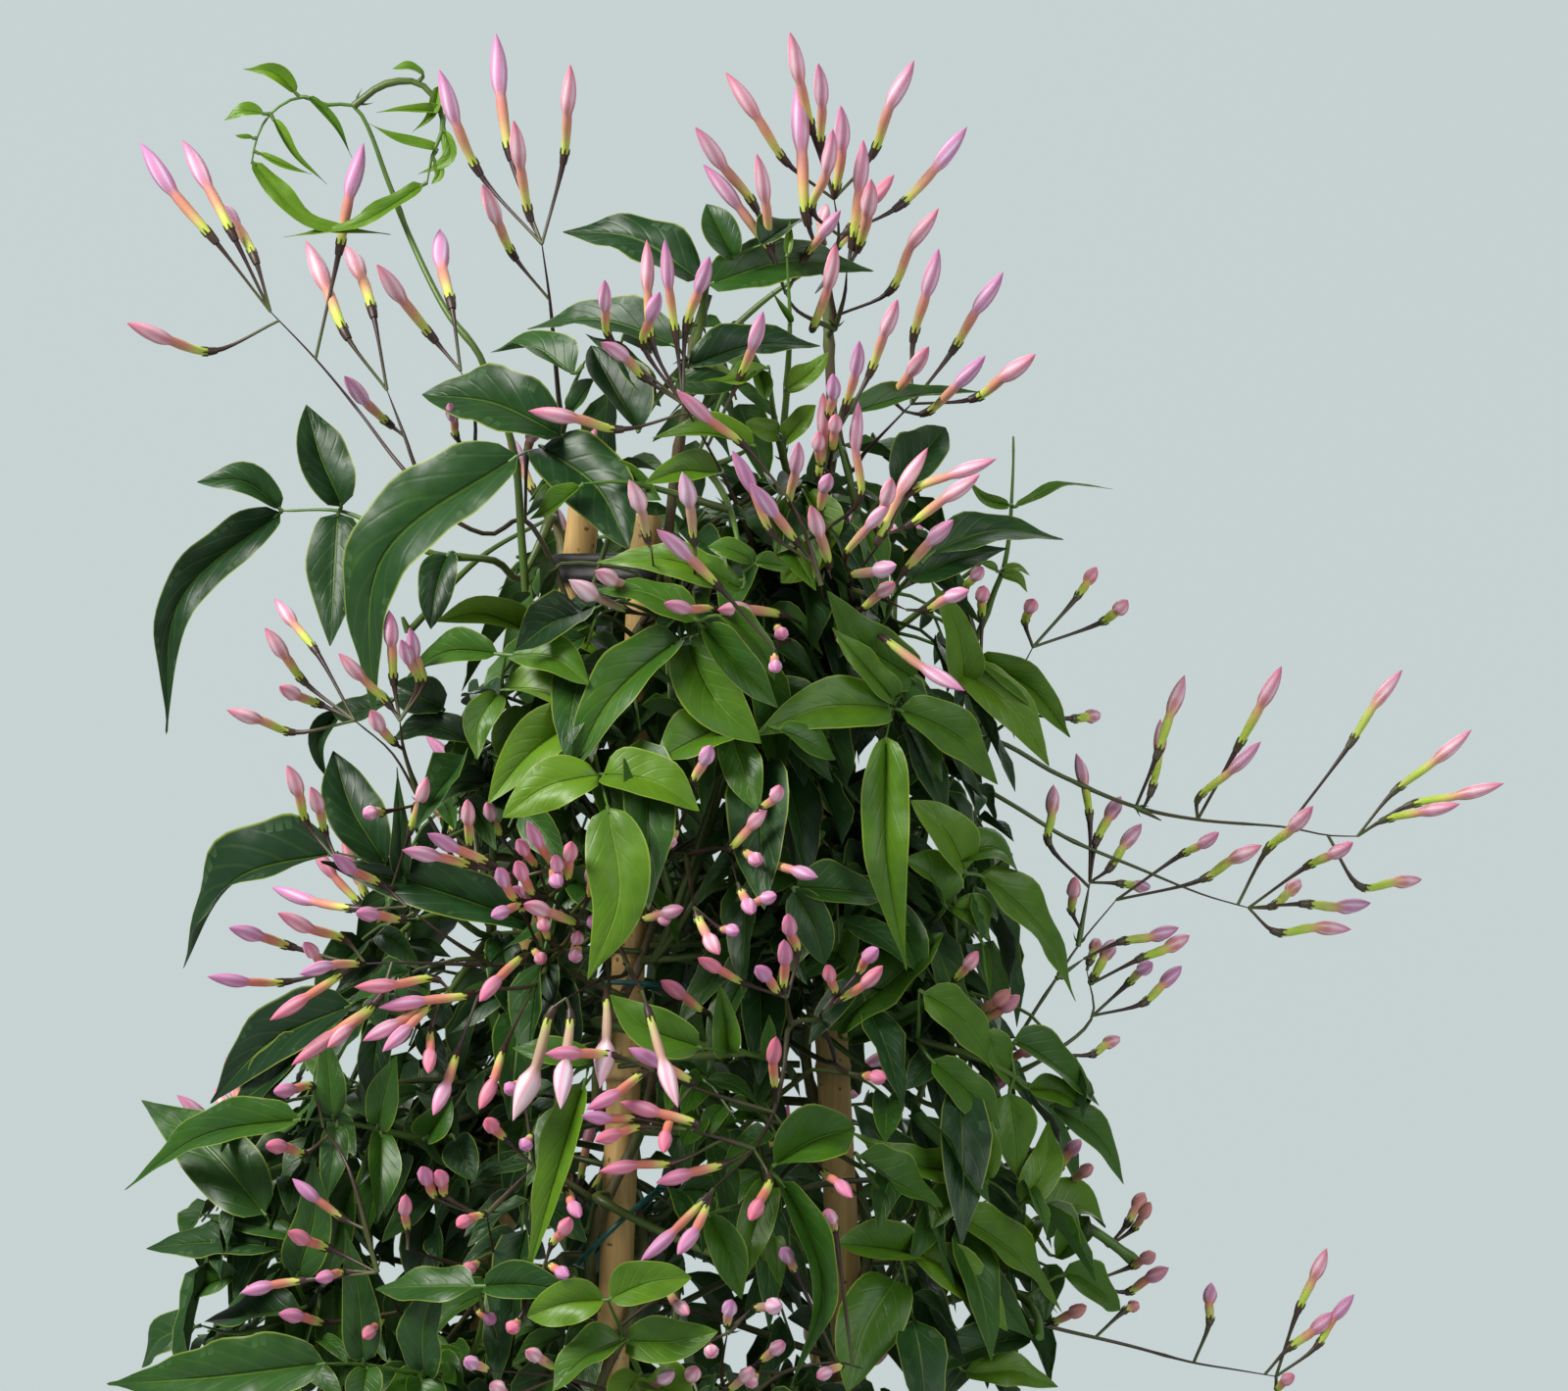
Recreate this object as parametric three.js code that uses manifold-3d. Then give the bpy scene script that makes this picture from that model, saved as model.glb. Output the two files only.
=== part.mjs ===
// A pink jasmine (Jasminum polyanthum) in a plain round pot: four vines twined up three bamboo canes, leafy
// shoots and sprays of closed buds. Millimetres, +Z up, origin at the middle of the pot's flat base.
import * as THREE from 'three';
import { mergeVertices } from 'three/addons/utils/BufferGeometryUtils.js';
import Module from 'manifold-3d';

const wasm = await Module();
wasm.setup();

// ---- Driving dimensions, mm --------------------------------------------------------------------------
const GAP = 0.3;
const CANE_RADIUS = 4;
const VINE_RADIUS = 1.3;
const SHOOT_RADIUS = 1.1;
const SPRAY_RADIUS = 0.75;
const POT_HEIGHT = 130;
const POT_FOOT_RADIUS = 62;
const POT_RIM_RADIUS = 85;
const POT_WALL = 2.5;
const POT_FLOOR = 3;
const POT_SIDES = 28;
const RIM_HEIGHT = 11;
const RIM_STEP = 3;
const SOIL_TOP = 117;
const SOIL_MOUND = 5;
const CANE_DEPTH_IN_SOIL = 60;
const VINE_DEPTH_IN_SOIL = 12;
const TWINE_PITCH = 84;
const TWINE_START = SOIL_TOP + 40;
const TWINE_TOP = 396;
const ROOT_REACH = 16;
const TWINE_REACH = CANE_RADIUS + VINE_RADIUS + 1;

// The front elevation is drawn on a grid of SQUARE mm squares, columns to the right and rows downward, as
// seen from EYE.
const SQUARE = 0.23;
const AXIS_COLUMN = 655;
const FLOOR_ROW = 2332;
const EYE = new THREE.Vector3(33.35, -1500, 373.2);

// The bush's outline: height, middle and half width. Its front bulges towards the viewer by BULGE of the half
// width.
const BULGE = 0.7;
const BUSH = [
  [125, 0, 84], [165, -2, 104], [210, -3, 116], [300, 0, 108], [375, 6, 96], [430, 12, 84], [480, 14, 66],
  [535, 16, 40],
];

// ---- Places ------------------------------------------------------------------------------------------
function bushAt(height) {
  let k = 0;
  while (k < BUSH.length - 2 && BUSH[k + 1][0] < height) k += 1;
  const [low, high] = [BUSH[k], BUSH[k + 1]];
  const share = THREE.MathUtils.clamp((height - low[0]) / (high[0] - low[0]), 0, 1);
  const [, middle, half] = low.map((value, part) => THREE.MathUtils.lerp(value, high[part], share));
  return { middle, half };
}

// A grid place at a given depth behind the pot's axis (negative is towards the viewer), in the eye's
// perspective.
function atDepth(column, row, depth) {
  const flat = new THREE.Vector3((column - AXIS_COLUMN) * SQUARE, 0, (FLOOR_ROW - row) * SQUARE);
  return flat.sub(EYE).multiplyScalar(1 - depth / EYE.y).add(EYE);
}

function bulge(column, row) {
  const { middle, half } = bushAt((FLOOR_ROW - row) * SQUARE);
  const across = ((column - AXIS_COLUMN) * SQUARE - middle) / half;
  return BULGE * half * Math.max(0, 1 - across * across);
}

// A repeatable number from 0 to 1.
function grain(seed) {
  const wave = Math.sin(seed * 127.1 + 311.7) * 43758.5453;
  return wave - Math.floor(wave);
}

// ---- The drawing: canes, vines, leafy shoots and bud sprays ------------------------------------------
// A cane: its foot at the soil and its top, each [x, y, z].
const CANES = [
  [[-50, 15, SOIL_TOP], [-13.4, 2, 418]],
  [[-10, -34, SOIL_TOP], [1, -4, 415]],
  [[54, 14, SOIL_TOP], [38, 8, 414]],
];

// A vine: name, cane, bearing round the cane at the top of its twining (degrees), then the depth and the grid
// places (column, row) of its free top.
const VINES = [
  ['vine_left', 0, 105, 16, [[574, 560], [562, 505], [570, 450]]],
  ['vine_middle_front', 1, 300, -20, [[680, 560], [690, 470], [703, 400], [708, 350], [722, 300]]],
  ['vine_middle_back', 1, 120, 0, []],
  ['vine_right', 2, 285, -6, [[832, 560], [850, 460], [848, 400], [846, 350], [843, 300]]],
];

// A shoot: name, vine, row where it leaves the vine, how far it is set back (mm), greenness, stems and leaves.
// A stem is a run of [column, row]; a leaf is [base column, base row, tip column, tip row, width, bow].
const SHOOTS = [
  ['shoot_curled', 0, 760, -6, 0.9, [
    [[552, 700], [541, 645], [533, 560], [526, 470], [514, 425], [500, 390], [488, 360], [456, 318],
      [417, 239], [398, 190], [361, 108], [334, 107], [306, 99], [276, 116], [262, 141], [257, 165]],
    [[361, 108], [392, 86], [426, 84], [444, 101], [452, 128], [441, 159], [436, 186]],
  ], [
    [305, 93, 248, 70, 24, 8], [269, 116, 228, 122, 20, 6], [258, 142, 240, 138, 9, 0],
    [314, 99, 360, 161, 20, -6], [272, 120, 336, 186, 22, 6], [264, 153, 319, 177, 14, 4],
    [257, 165, 400, 237, 36, 24], [432, 77, 400, 69, 20, 5], [447, 88, 421, 135, 18, -8],
    [452, 117, 383, 113, 18, 3], [446, 152, 375, 124, 20, -4], [456, 124, 426, 177, 24, -20],
    [441, 165, 440, 188, 16, -8], [436, 190, 288, 242, 34, -8], [533, 642, 447, 630, 30, 10],
    [546, 642, 622, 672, 28, -10],
  ]],
  ['shoot_left_top', 0, 505, -10, 0.2, [
    [[552, 470], [540, 461], [528, 465]],
    [[552, 470], [572, 446], [583, 400], [597, 368]],
  ], [
    [528, 465, 374, 743, 98, 70], [553, 457, 640, 590, 88, -22], [571, 444, 430, 402, 66, 12],
    [586, 381, 500, 359, 38, 16], [584, 420, 606, 386, 26, 0],
  ]],
  ['shoot_left_far', 0, 536, -4, 0.1, [
    [[530, 590], [505, 572], [440, 564], [378, 533], [346, 521], [288, 521]],
  ], [
    [348, 516, 313, 412, 60, -4], [345, 524, 336, 658, 58, 0], [290, 519, 200, 490, 38, 14],
    [286, 523, 169, 750, 60, 50], [457, 566, 440, 640, 40, 4],
  ]],
  ['shoot_top_middle', 1, 350, 4, 0.15, [
    [[716, 330], [722, 288], [748, 262], [776, 250]],
    [[716, 330], [703, 366], [692, 354]],
    [[703, 366], [668, 410], [652, 441]],
  ], [
    [712, 284, 572, 231, 56, 16], [724, 290, 895, 273, 48, -16], [748, 262, 721, 207, 42, 0],
    [776, 250, 818, 222, 40, 0], [689, 352, 535, 331, 44, 16], [703, 373, 838, 352, 52, -10],
    [650, 441, 603, 352, 62, 0], [664, 412, 598, 338, 34, 8], [690, 388, 764, 392, 26, 0],
  ]],
  ['shoot_top_young', 3, 460, 0, 0.8, [
    [[820, 500], [800, 470], [803, 395], [806, 330], [803, 262]],
    [[800, 470], [789, 420], [785, 374]],
  ], [
    [785, 376, 717, 388, 24, -6], [776, 380, 782, 408, 22, 0], [803, 397, 845, 358, 26, 4],
    [803, 447, 832, 413, 24, 0], [795, 443, 762, 430, 20, 0], [804, 264, 806, 222, 10, 0],
    [806, 330, 788, 296, 9, 0],
  ]],
  ['shoot_middle_high', 1, 470, 1, 0.7, [
    [[722, 480], [745, 520], [760, 592]],
    [[722, 480], [770, 455]],
    [[745, 520], [640, 492], [596, 493]],
  ], [
    [734, 484, 658, 493, 30, 8], [770, 454, 665, 446, 34, 8], [592, 494, 540, 530, 24, -4],
    [745, 592, 608, 573, 38, 12], [768, 574, 722, 556, 26, 4], [770, 575, 808, 578, 20, 0],
    [757, 600, 700, 560, 30, -4],
  ]],
  ['shoot_middle', 2, 700, -4, 0.65, [
    [[724, 690], [716, 650], [712, 633]],
    [[724, 690], [752, 735], [790, 742]],
  ], [
    [694, 654, 578, 790, 62, 16], [714, 634, 794, 722, 44, 2], [711, 632, 600, 600, 40, 12],
    [733, 628, 792, 694, 34, -10], [704, 655, 776, 758, 78, 12], [748, 752, 772, 828, 38, 0],
    [745, 738, 670, 774, 50, 0], [795, 742, 855, 773, 32, 0],
  ]],
  ['shoot_left_small', 0, 820, -4, 0.75, [
    [[556, 800], [532, 746], [513, 707], [516, 668]],
  ], [
    [508, 667, 410, 690, 34, 14], [522, 668, 601, 697, 42, -12], [516, 703, 598, 728, 36, -10],
    [509, 708, 487, 775, 32, 10], [542, 738, 514, 778, 42, 8],
  ]],
  ['shoot_left_middle', 1, 850, -10, 0.9, [
    [[604, 700], [600, 735], [606, 765], [612, 791], [620, 822]],
  ], [
    [597, 730, 497, 818, 54, 8], [610, 791, 512, 834, 50, 10], [616, 790, 715, 824, 50, -10],
    [620, 824, 600, 1000, 66, -22],
  ]],
  ['shoot_right_upper', 3, 780, -8, 0.7, [
    [[958, 740], [944, 700], [932, 698], [911, 724], [904, 752]],
  ], [
    [908, 723, 771, 748, 46, 14], [904, 752, 923, 992, 64, 8], [918, 724, 1024, 800, 44, -12],
    [930, 692, 845, 602, 60, -12], [910, 714, 850, 640, 30, 0],
  ]],
  ['shoot_right_top', 3, 810, 1, 0.85, [
    [[968, 760], [984, 700], [990, 669], [1005, 630], [1016, 600], [1024, 580], [1030, 545], [1032, 515],
      [1034, 470], [1034, 445]],
  ], [
    [1035, 517, 1137, 496, 12, -12], [1029, 515, 988, 488, 12, -8], [1024, 582, 1052, 586, 12, -6],
    [1022, 588, 1049, 604, 14, -4], [1018, 583, 1001, 573, 10, 0], [996, 672, 1093, 753, 38, -12],
    [980, 684, 1072, 782, 48, -12], [984, 700, 950, 592, 36, 10],
  ]],
  ['shoot_right_inner', 3, 640, 2, 0.35, [
    [[892, 640], [915, 606], [940, 575]],
    [[892, 640], [880, 540], [900, 505]],
    [[880, 540], [850, 428]],
  ], [
    [926, 591, 1031, 556, 32, -4], [950, 565, 1086, 550, 38, -16], [912, 500, 965, 434, 50, 0],
    [854, 425, 1012, 397, 26, -8],
  ]],
  ['shoot_right_middle', 3, 960, -4, 0.55, [
    [[900, 990], [940, 952], [966, 924], [986, 891]],
    [[900, 990], [915, 1040], [935, 1060], [938, 1010]],
    [[935, 1060], [1000, 1080], [1035, 1098], [1072, 1128]],
  ], [
    [1000, 893, 1098, 1022, 48, -16], [972, 926, 1010, 958, 34, -10], [1003, 962, 1010, 1026, 9, -2],
    [962, 921, 925, 874, 44, 6], [984, 888, 931, 816, 44, 8], [978, 880, 1042, 888, 38, -20],
    [938, 1004, 1022, 1096, 42, -8], [951, 1082, 1026, 1166, 40, -6], [1033, 1064, 1122, 1128, 42, -6],
    [1048, 1110, 1105, 1128, 26, -6], [1072, 1128, 1151, 1208, 36, -12], [1004, 1054, 1046, 1116, 30, 0],
    [1030, 1115, 1040, 1200, 48, 0],
  ]],
  ['shoot_middle_low', 1, 1090, -6, 0.5, [
    [[790, 1080], [760, 1074], [716, 1069]],
    [[760, 1074], [640, 1082], [605, 1080], [598, 1100]],
  ], [
    [714, 1069, 622, 1014, 46, -10], [744, 1074, 734, 1004, 28, 0], [783, 1075, 786, 1036, 16, 0],
    [603, 1079, 522, 1068, 30, 0], [597, 1106, 533, 1310, 50, 0],
  ]],
  ['shoot_right_centre', 3, 1000, 2, 0.4, [
    [[856, 1048], [836, 975], [808, 905]],
  ], [
    [866, 1060, 963, 1008, 30, 8], [852, 1046, 962, 948, 80, 4], [812, 905, 905, 912, 42, 0],
    [806, 908, 842, 985, 44, -6], [850, 990, 868, 932, 42, 0],
  ]],
  ['shoot_right_low', 3, 1290, -6, 0.6, [
    [[905, 1335], [916, 1304], [932, 1277], [968, 1243], [1008, 1205], [1040, 1232]],
    [[932, 1277], [900, 1220], [872, 1176]],
  ], [
    [1004, 1210, 950, 1252, 38, 8], [928, 1278, 853, 1268, 40, 0], [914, 1306, 868, 1419, 62, 10],
    [936, 1278, 1030, 1358, 50, -10], [976, 1240, 1086, 1338, 46, -10], [1007, 1203, 1013, 1142, 26, 0],
    [1044, 1234, 1072, 1141, 38, 8], [990, 1198, 872, 1153, 34, -12], [866, 1174, 966, 1228, 42, 6],
  ]],
  ['shoot_right_pruned', 3, 1340, 0, 0.6, [
    [[1010, 1310], [1050, 1250], [1085, 1240], [1117, 1256], [1163, 1290]],
    [[1010, 1310], [1045, 1325], [1058, 1342], [1061, 1364]],
  ], [
    [1054, 1246, 1012, 1298, 40, 0], [1064, 1240, 1131, 1250, 44, -14], [1077, 1283, 1112, 1240, 34, 0],
    [1085, 1300, 1146, 1336, 36, -4], [985, 1400, 1082, 1414, 36, -8],
  ]],
  ['shoot_four_leaf', 1, 1440, -10, 0.9, [
    [[668, 1440], [654, 1405], [638, 1366], [620, 1326]],
  ], [
    [617, 1328, 537, 1344, 42, 6], [623, 1326, 706, 1303, 42, -6], [635, 1367, 562, 1416, 44, 6],
    [641, 1368, 733, 1358, 42, 6], [652, 1404, 622, 1450, 40, 0], [660, 1408, 712, 1440, 40, 0],
  ]],
  ['shoot_low_centre', 2, 1210, -5, 0.5, [
    [[772, 1290], [778, 1225], [788, 1190]],
    [[778, 1225], [722, 1238]],
  ], [
    [722, 1240, 757, 1326, 40, -4], [784, 1212, 762, 1303, 38, 6], [797, 1206, 808, 1419, 44, -36],
    [790, 1188, 874, 1150, 54, -6], [790, 1262, 796, 1312, 20, 0],
  ]],
  ['shoot_left_bright', 0, 1180, -8, 0.8, [
    [[480, 1162], [432, 1162], [387, 1152], [342, 1143], [308, 1142]],
  ], [
    [306, 1142, 123, 1212, 48, 18], [340, 1139, 332, 1054, 36, 0], [344, 1149, 334, 1224, 32, 0],
    [386, 1147, 402, 1078, 36, 0], [389, 1158, 388, 1246, 36, 0], [437, 1158, 460, 1124, 34, 0],
    [464, 1162, 484, 1204, 36, 0],
  ]],
  ['shoot_left_dark', 0, 940, 4, 0.05, [
    [[500, 955], [430, 905], [393, 882], [345, 870]],
    [[500, 955], [500, 800], [478, 757], [440, 722], [400, 713], [350, 722]],
    [[500, 955], [430, 1035], [358, 1024], [318, 1060]],
  ], [
    [342, 870, 178, 985, 58, 22], [540, 944, 323, 877, 62, 6], [393, 880, 340, 764, 62, -8],
    [412, 896, 405, 782, 26, 0], [346, 722, 332, 795, 26, 14], [396, 715, 334, 722, 30, -6],
    [452, 722, 402, 698, 40, 0], [478, 757, 398, 752, 34, 14], [498, 800, 438, 824, 30, 12],
    [358, 1026, 211, 1127, 52, 16], [311, 1070, 269, 1117, 24, 4], [320, 1062, 232, 1130, 44, -4],
  ]],
  ['shoot_left_low', 0, 1350, 0, 0.3, [
    [[360, 1395], [318, 1340], [303, 1310], [288, 1276], [272, 1240]],
    [[318, 1340], [240, 1360], [205, 1352]],
  ], [
    [270, 1238, 141, 1118, 80, 6], [284, 1273, 146, 1270, 46, 4], [306, 1335, 207, 1345, 50, -2],
    [200, 1352, 142, 1394, 42, 10], [245, 1300, 188, 1318, 36, 0], [300, 1262, 196, 1232, 24, 0],
    [304, 1300, 318, 1180, 46, 10],
  ]],
  ['shoot_left_bottom', 0, 1450, -6, 0.6, [
    [[500, 1440], [470, 1412], [429, 1403], [373, 1392], [333, 1391]],
    [[470, 1412], [492, 1350], [488, 1312]],
  ], [
    [331, 1391, 101, 1411, 60, -4], [371, 1388, 352, 1252, 42, 4], [375, 1396, 366, 1446, 36, 0],
    [432, 1400, 452, 1296, 46, -10], [430, 1408, 430, 1448, 40, 0], [484, 1312, 380, 1312, 36, 0],
    [494, 1312, 584, 1318, 38, -4],
  ]],
];

// A spray: name, vine, row where it leaves the vine, set back (mm), full bud length, blush, stems and buds.
// A bud is [tip column, tip row, calyx column, calyx row].
const SPRAYS = [
  ['spray_top_left', 0, 670, 1, 120, 0.5, [
    [[536, 530], [500, 545], [460, 528], [408, 474], [366, 419], [322, 366], [276, 318]],
    [[460, 528], [428, 485], [413, 445], [395, 398]],
    [[460, 528], [482, 470], [484, 420], [470, 378]],
  ], [
    [143, 145, 219, 245], [186, 142, 239, 242], [220, 205, 261, 266], [129, 329, 218, 358],
    [371, 145, 346, 257], [312, 245, 354, 343], [352, 250, 381, 321], [351, 383, 398, 433],
    [384, 269, 443, 346], [449, 233, 461, 312], [458, 411, 466, 446], [547, 436, 538, 462],
  ]],
  ['spray_top_centre', 0, 450, 0, 120, 0.45, [
    [[573, 430], [570, 405], [566, 360], [561, 306], [553, 249]],
  ], [
    [448, 70, 489, 176], [492, 187, 525, 262], [506, 33, 521, 160], [524, 122, 541, 222],
    [582, 65, 575, 164],
  ]],
  ['spray_upper_middle', 3, 630, -4, 110, 0.45, [
    [[800, 640], [785, 600], [768, 555], [745, 500], [722, 455], [697, 412]],
  ], [
    [617, 285, 623, 346], [660, 244, 666, 351], [678, 244, 690, 344], [724, 261, 700, 335],
    [673, 297, 657, 354], [613, 349, 658, 386], [779, 317, 754, 387], [539, 419, 633, 438],
  ]],
  ['spray_pale', 1, 680, -8, 90, 0.1, [
    [[690, 655], [672, 636], [668, 590], [665, 562]],
    [[672, 636], [705, 600], [710, 566]],
  ], [
    [642, 489, 661, 551], [696, 481, 708, 553], [580, 591, 641, 623], [607, 582, 651, 606],
  ]],
  ['spray_top_right', 3, 350, 9, 120, 0.4, [
    [[852, 336], [846, 282], [856, 240], [851, 203]],
    [[846, 282], [832, 299]],
    [[852, 336], [815, 318], [802, 300]],
    [[852, 336], [862, 300], [864, 276]],
  ], [
    [740, 73, 803, 166], [806, 32, 829, 134], [835, 64, 838, 150], [813, 84, 824, 226],
    [709, 129, 771, 212], [772, 156, 787, 256], [717, 167, 787, 260], [850, 131, 829, 216],
    [858, 107, 856, 201], [881, 142, 869, 250], [889, 182, 875, 254], [858, 214, 822, 262],
    [933, 61, 890, 158], [987, 129, 915, 212], [853, 247, 829, 336], [958, 212, 907, 298],
  ]],
  ['spray_right_upper', 3, 425, 2, 115, 0.45, [
    [[868, 480], [882, 462], [903, 440], [930, 412]],
  ], [
    [1024, 277, 972, 358], [948, 353, 912, 408], [958, 253, 932, 346], [1057, 361, 992, 407],
    [1006, 362, 942, 422],
  ]],
  ['spray_centre_left', 3, 625, -14, 110, 0.6, [
    [[850, 640], [840, 612], [838, 597]],
    [[850, 640], [800, 655], [790, 664]],
    [[838, 597], [820, 540], [806, 510]],
  ], [
    [690, 398, 760, 455], [747, 459, 789, 545], [765, 493, 814, 554], [677, 615, 730, 622],
    [732, 622, 797, 627], [670, 540, 734, 599], [792, 684, 790, 668], [799, 650, 793, 640],
    [870, 660, 856, 652],
  ]],
  ['spray_centre_top', 3, 530, -7, 110, 0.35, [
    [[842, 500], [850, 455], [856, 438]],
    [[842, 500], [836, 545], [848, 590]],
  ], [
    [916, 305, 887, 382], [877, 347, 862, 417], [815, 450, 807, 514], [840, 400, 835, 488],
    [876, 409, 877, 510], [847, 483, 837, 520], [850, 381, 847, 425], [836, 440, 838, 474],
    [827, 515, 846, 576], [853, 422, 850, 458],
  ]],
  ['spray_centre_right', 3, 690, -22, 110, 0.3, [
    [[872, 640], [866, 600], [880, 578], [905, 545]],
    [[866, 600], [902, 612], [925, 622]],
  ], [
    [947, 456, 895, 554], [909, 512, 863, 566], [910, 487, 895, 540], [1017, 468, 927, 504],
    [1000, 484, 926, 536], [973, 530, 924, 582], [915, 576, 869, 586], [913, 594, 881, 620],
    [989, 602, 944, 622], [985, 705, 902, 651],
  ]],
  ['spray_right_young', 3, 934, 10, 42, 0.55, [
    [[985, 768], [1020, 710], [1043, 680], [1054, 660]],
    [[1020, 710], [1001, 668]],
    [[985, 768], [1040, 728]],
  ], [
    [1119, 578, 1098, 610], [1151, 612, 1123, 635], [1055, 611, 1046, 636], [1004, 597, 1002, 630],
    [1123, 729, 1094, 733], [1003, 578, 984, 602],
  ]],
  ['spray_far_right', 3, 880, 2, 105, 0.4, [
    [[940, 760], [1010, 754], [1080, 790], [1159, 823], [1222, 836], [1314, 844], [1355, 852], [1385, 853]],
    [[940, 760], [985, 792], [1040, 825], [1089, 855], [1160, 885], [1229, 913], [1274, 926]],
    [[1159, 823], [1185, 837]],
  ], [
    [1209, 688, 1180, 772], [1184, 733, 1174, 809], [1308, 679, 1262, 764], [1287, 756, 1222, 816],
    [1431, 683, 1377, 760], [1502, 744, 1422, 808], [1535, 799, 1436, 822], [1490, 820, 1411, 837],
    [1451, 897, 1386, 903], [1340, 822, 1292, 868], [1381, 859, 1333, 884], [1327, 897, 1296, 925],
    [1399, 921, 1329, 922], [1379, 948, 1300, 950],
  ]],
  ['spray_right_middle', 3, 1140, 2, 75, 0.45, [
    [[960, 1130], [1000, 1112], [1030, 1072], [1060, 1025], [1078, 998], [1100, 965], [1139, 918]],
    [[1000, 1112], [1073, 1075], [1115, 1036], [1109, 990]],
    [[1078, 998], [1106, 978]],
    [[1100, 965], [1112, 900]],
  ], [
    [1098, 768, 1112, 836], [1075, 800, 1070, 860], [1144, 812, 1118, 860], [1165, 840, 1131, 887],
    [1244, 849, 1205, 872], [1174, 905, 1141, 901], [1097, 894, 1094, 931], [1288, 862, 1227, 897],
    [1203, 946, 1142, 961], [1214, 954, 1161, 979], [1176, 982, 1150, 1004], [1206, 985, 1165, 1024],
    [1120, 957, 1111, 983], [1137, 958, 1113, 1000], [1143, 1058, 1113, 1076],
  ]],
  ['spray_left_middle', 0, 790, -7, 85, 0.35, [
    [[500, 905], [470, 885], [430, 820], [400, 768], [362, 735]],
    [[430, 820], [412, 765], [408, 735]],
    [[500, 905], [400, 905], [345, 880]],
    [[470, 885], [485, 872]],
  ], [
    [280, 610, 323, 665], [270, 640, 311, 696], [285, 700, 328, 719], [231, 724, 299, 747],
    [345, 666, 398, 720], [397, 622, 402, 697], [378, 724, 403, 758], [409, 652, 427, 698],
    [418, 640, 432, 698], [293, 780, 313, 840], [317, 802, 332, 850], [371, 831, 392, 828],
    [436, 792, 418, 849], [477, 815, 480, 864], [497, 818, 511, 852],
  ]],
  ['spray_left_front', 1, 1010, -14, 105, 0.65, [
    [[600, 1000], [558, 985], [500, 984], [446, 983], [400, 982], [360, 984]],
    [[500, 984], [455, 955], [415, 925]],
    [[558, 985], [545, 1005], [490, 1010], [450, 1015]],
    [[558, 985], [585, 945], [560, 915], [520, 892]],
  ], [
    [339, 871, 391, 903], [277, 905, 365, 927], [363, 931, 411, 937], [283, 931, 354, 960],
    [233, 946, 299, 966], [211, 996, 295, 1001], [275, 1041, 354, 990], [305, 994, 370, 979],
    [310, 961, 334, 990], [361, 1007, 446, 999], [386, 1028, 481, 1015], [297, 1087, 387, 1018],
    [334, 1069, 384, 1023], [370, 1062, 440, 1025], [390, 1073, 442, 1022], [437, 1095, 440, 1050],
    [442, 1138, 467, 1073], [489, 1022, 534, 976], [489, 1132, 514, 1070], [410, 867, 484, 883],
    [436, 850, 502, 881], [538, 838, 563, 884], [528, 856, 548, 885], [527, 878, 545, 912],
    [508, 885, 528, 918], [501, 935, 532, 922], [534, 922, 588, 942], [571, 903, 562, 888],
    [602, 884, 601, 915], [556, 948, 552, 934], [554, 981, 545, 970], [585, 979, 590, 966],
    [603, 935, 614, 952],
  ]],
  ['spray_hanging', 2, 990, -16, 115, 0.05, [
    [[640, 985], [612, 1000], [578, 1018]],
    [[640, 985], [655, 1010]],
  ], [
    [523, 1144, 564, 1030], [572, 1132, 582, 1033], [612, 1111, 619, 1016], [692, 1130, 661, 1030],
  ]],
  ['spray_low_centre', 3, 1110, -12, 85, 0.9, [
    [[850, 1085], [838, 1040], [840, 1030]],
    [[838, 1040], [807, 1045], [800, 1090], [789, 1135], [769, 1172], [728, 1212]],
    [[807, 1045], [803, 1018]],
    [[789, 1135], [740, 1120], [705, 1108], [668, 1092]],
    [[769, 1172], [738, 1162], [700, 1152]],
    [[850, 1085], [866, 1094]],
  ], [
    [556, 1075, 627, 1077], [641, 1069, 706, 1104], [598, 1132, 658, 1094], [593, 1138, 651, 1141],
    [632, 1124, 712, 1148], [607, 1164, 656, 1149], [677, 1176, 688, 1133], [611, 1195, 688, 1186],
    [669, 1207, 740, 1187], [653, 1288, 722, 1220], [691, 1280, 723, 1226], [765, 1245, 785, 1201],
    [870, 1222, 836, 1193], [792, 1057, 791, 1110], [804, 932, 814, 972], [800, 958, 800, 1010],
    [771, 986, 795, 1013], [712, 977, 760, 1003], [674, 1000, 717, 1031], [844, 984, 852, 1014],
    [896, 967, 875, 994], [901, 985, 855, 1021], [904, 1100, 880, 1097],
  ]],
  ['spray_middle', 2, 880, -8, 60, 0.5, [
    [[680, 872], [700, 872], [740, 866], [752, 900]],
    [[740, 866], [775, 824]],
    [[700, 872], [708, 925]],
    [[680, 872], [712, 800]],
  ], [
    [768, 932, 755, 907], [792, 913, 765, 920], [734, 974, 711, 933], [754, 950, 735, 947],
    [835, 895, 786, 881], [775, 880, 760, 869], [796, 801, 780, 826], [783, 822, 745, 866],
    [681, 862, 690, 848], [725, 760, 708, 797], [698, 926, 655, 936], [682, 942, 668, 930],
  ]],
  ['spray_low_left', 0, 1400, -8, 70, 0.9, [
    [[440, 1390], [420, 1360], [400, 1325], [385, 1298]],
    [[440, 1390], [500, 1300], [497, 1238]],
    [[500, 1300], [416, 1275]],
    [[385, 1298], [355, 1190], [330, 1150]],
    [[497, 1238], [545, 1190]],
    [[500, 1300], [560, 1290]],
  ], [
    [298, 1202, 352, 1244], [294, 1256, 337, 1274], [322, 1305, 351, 1297], [245, 1319, 311, 1306],
    [284, 1340, 332, 1349], [371, 1365, 391, 1346], [414, 1218, 416, 1256], [466, 1251, 493, 1236],
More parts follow.
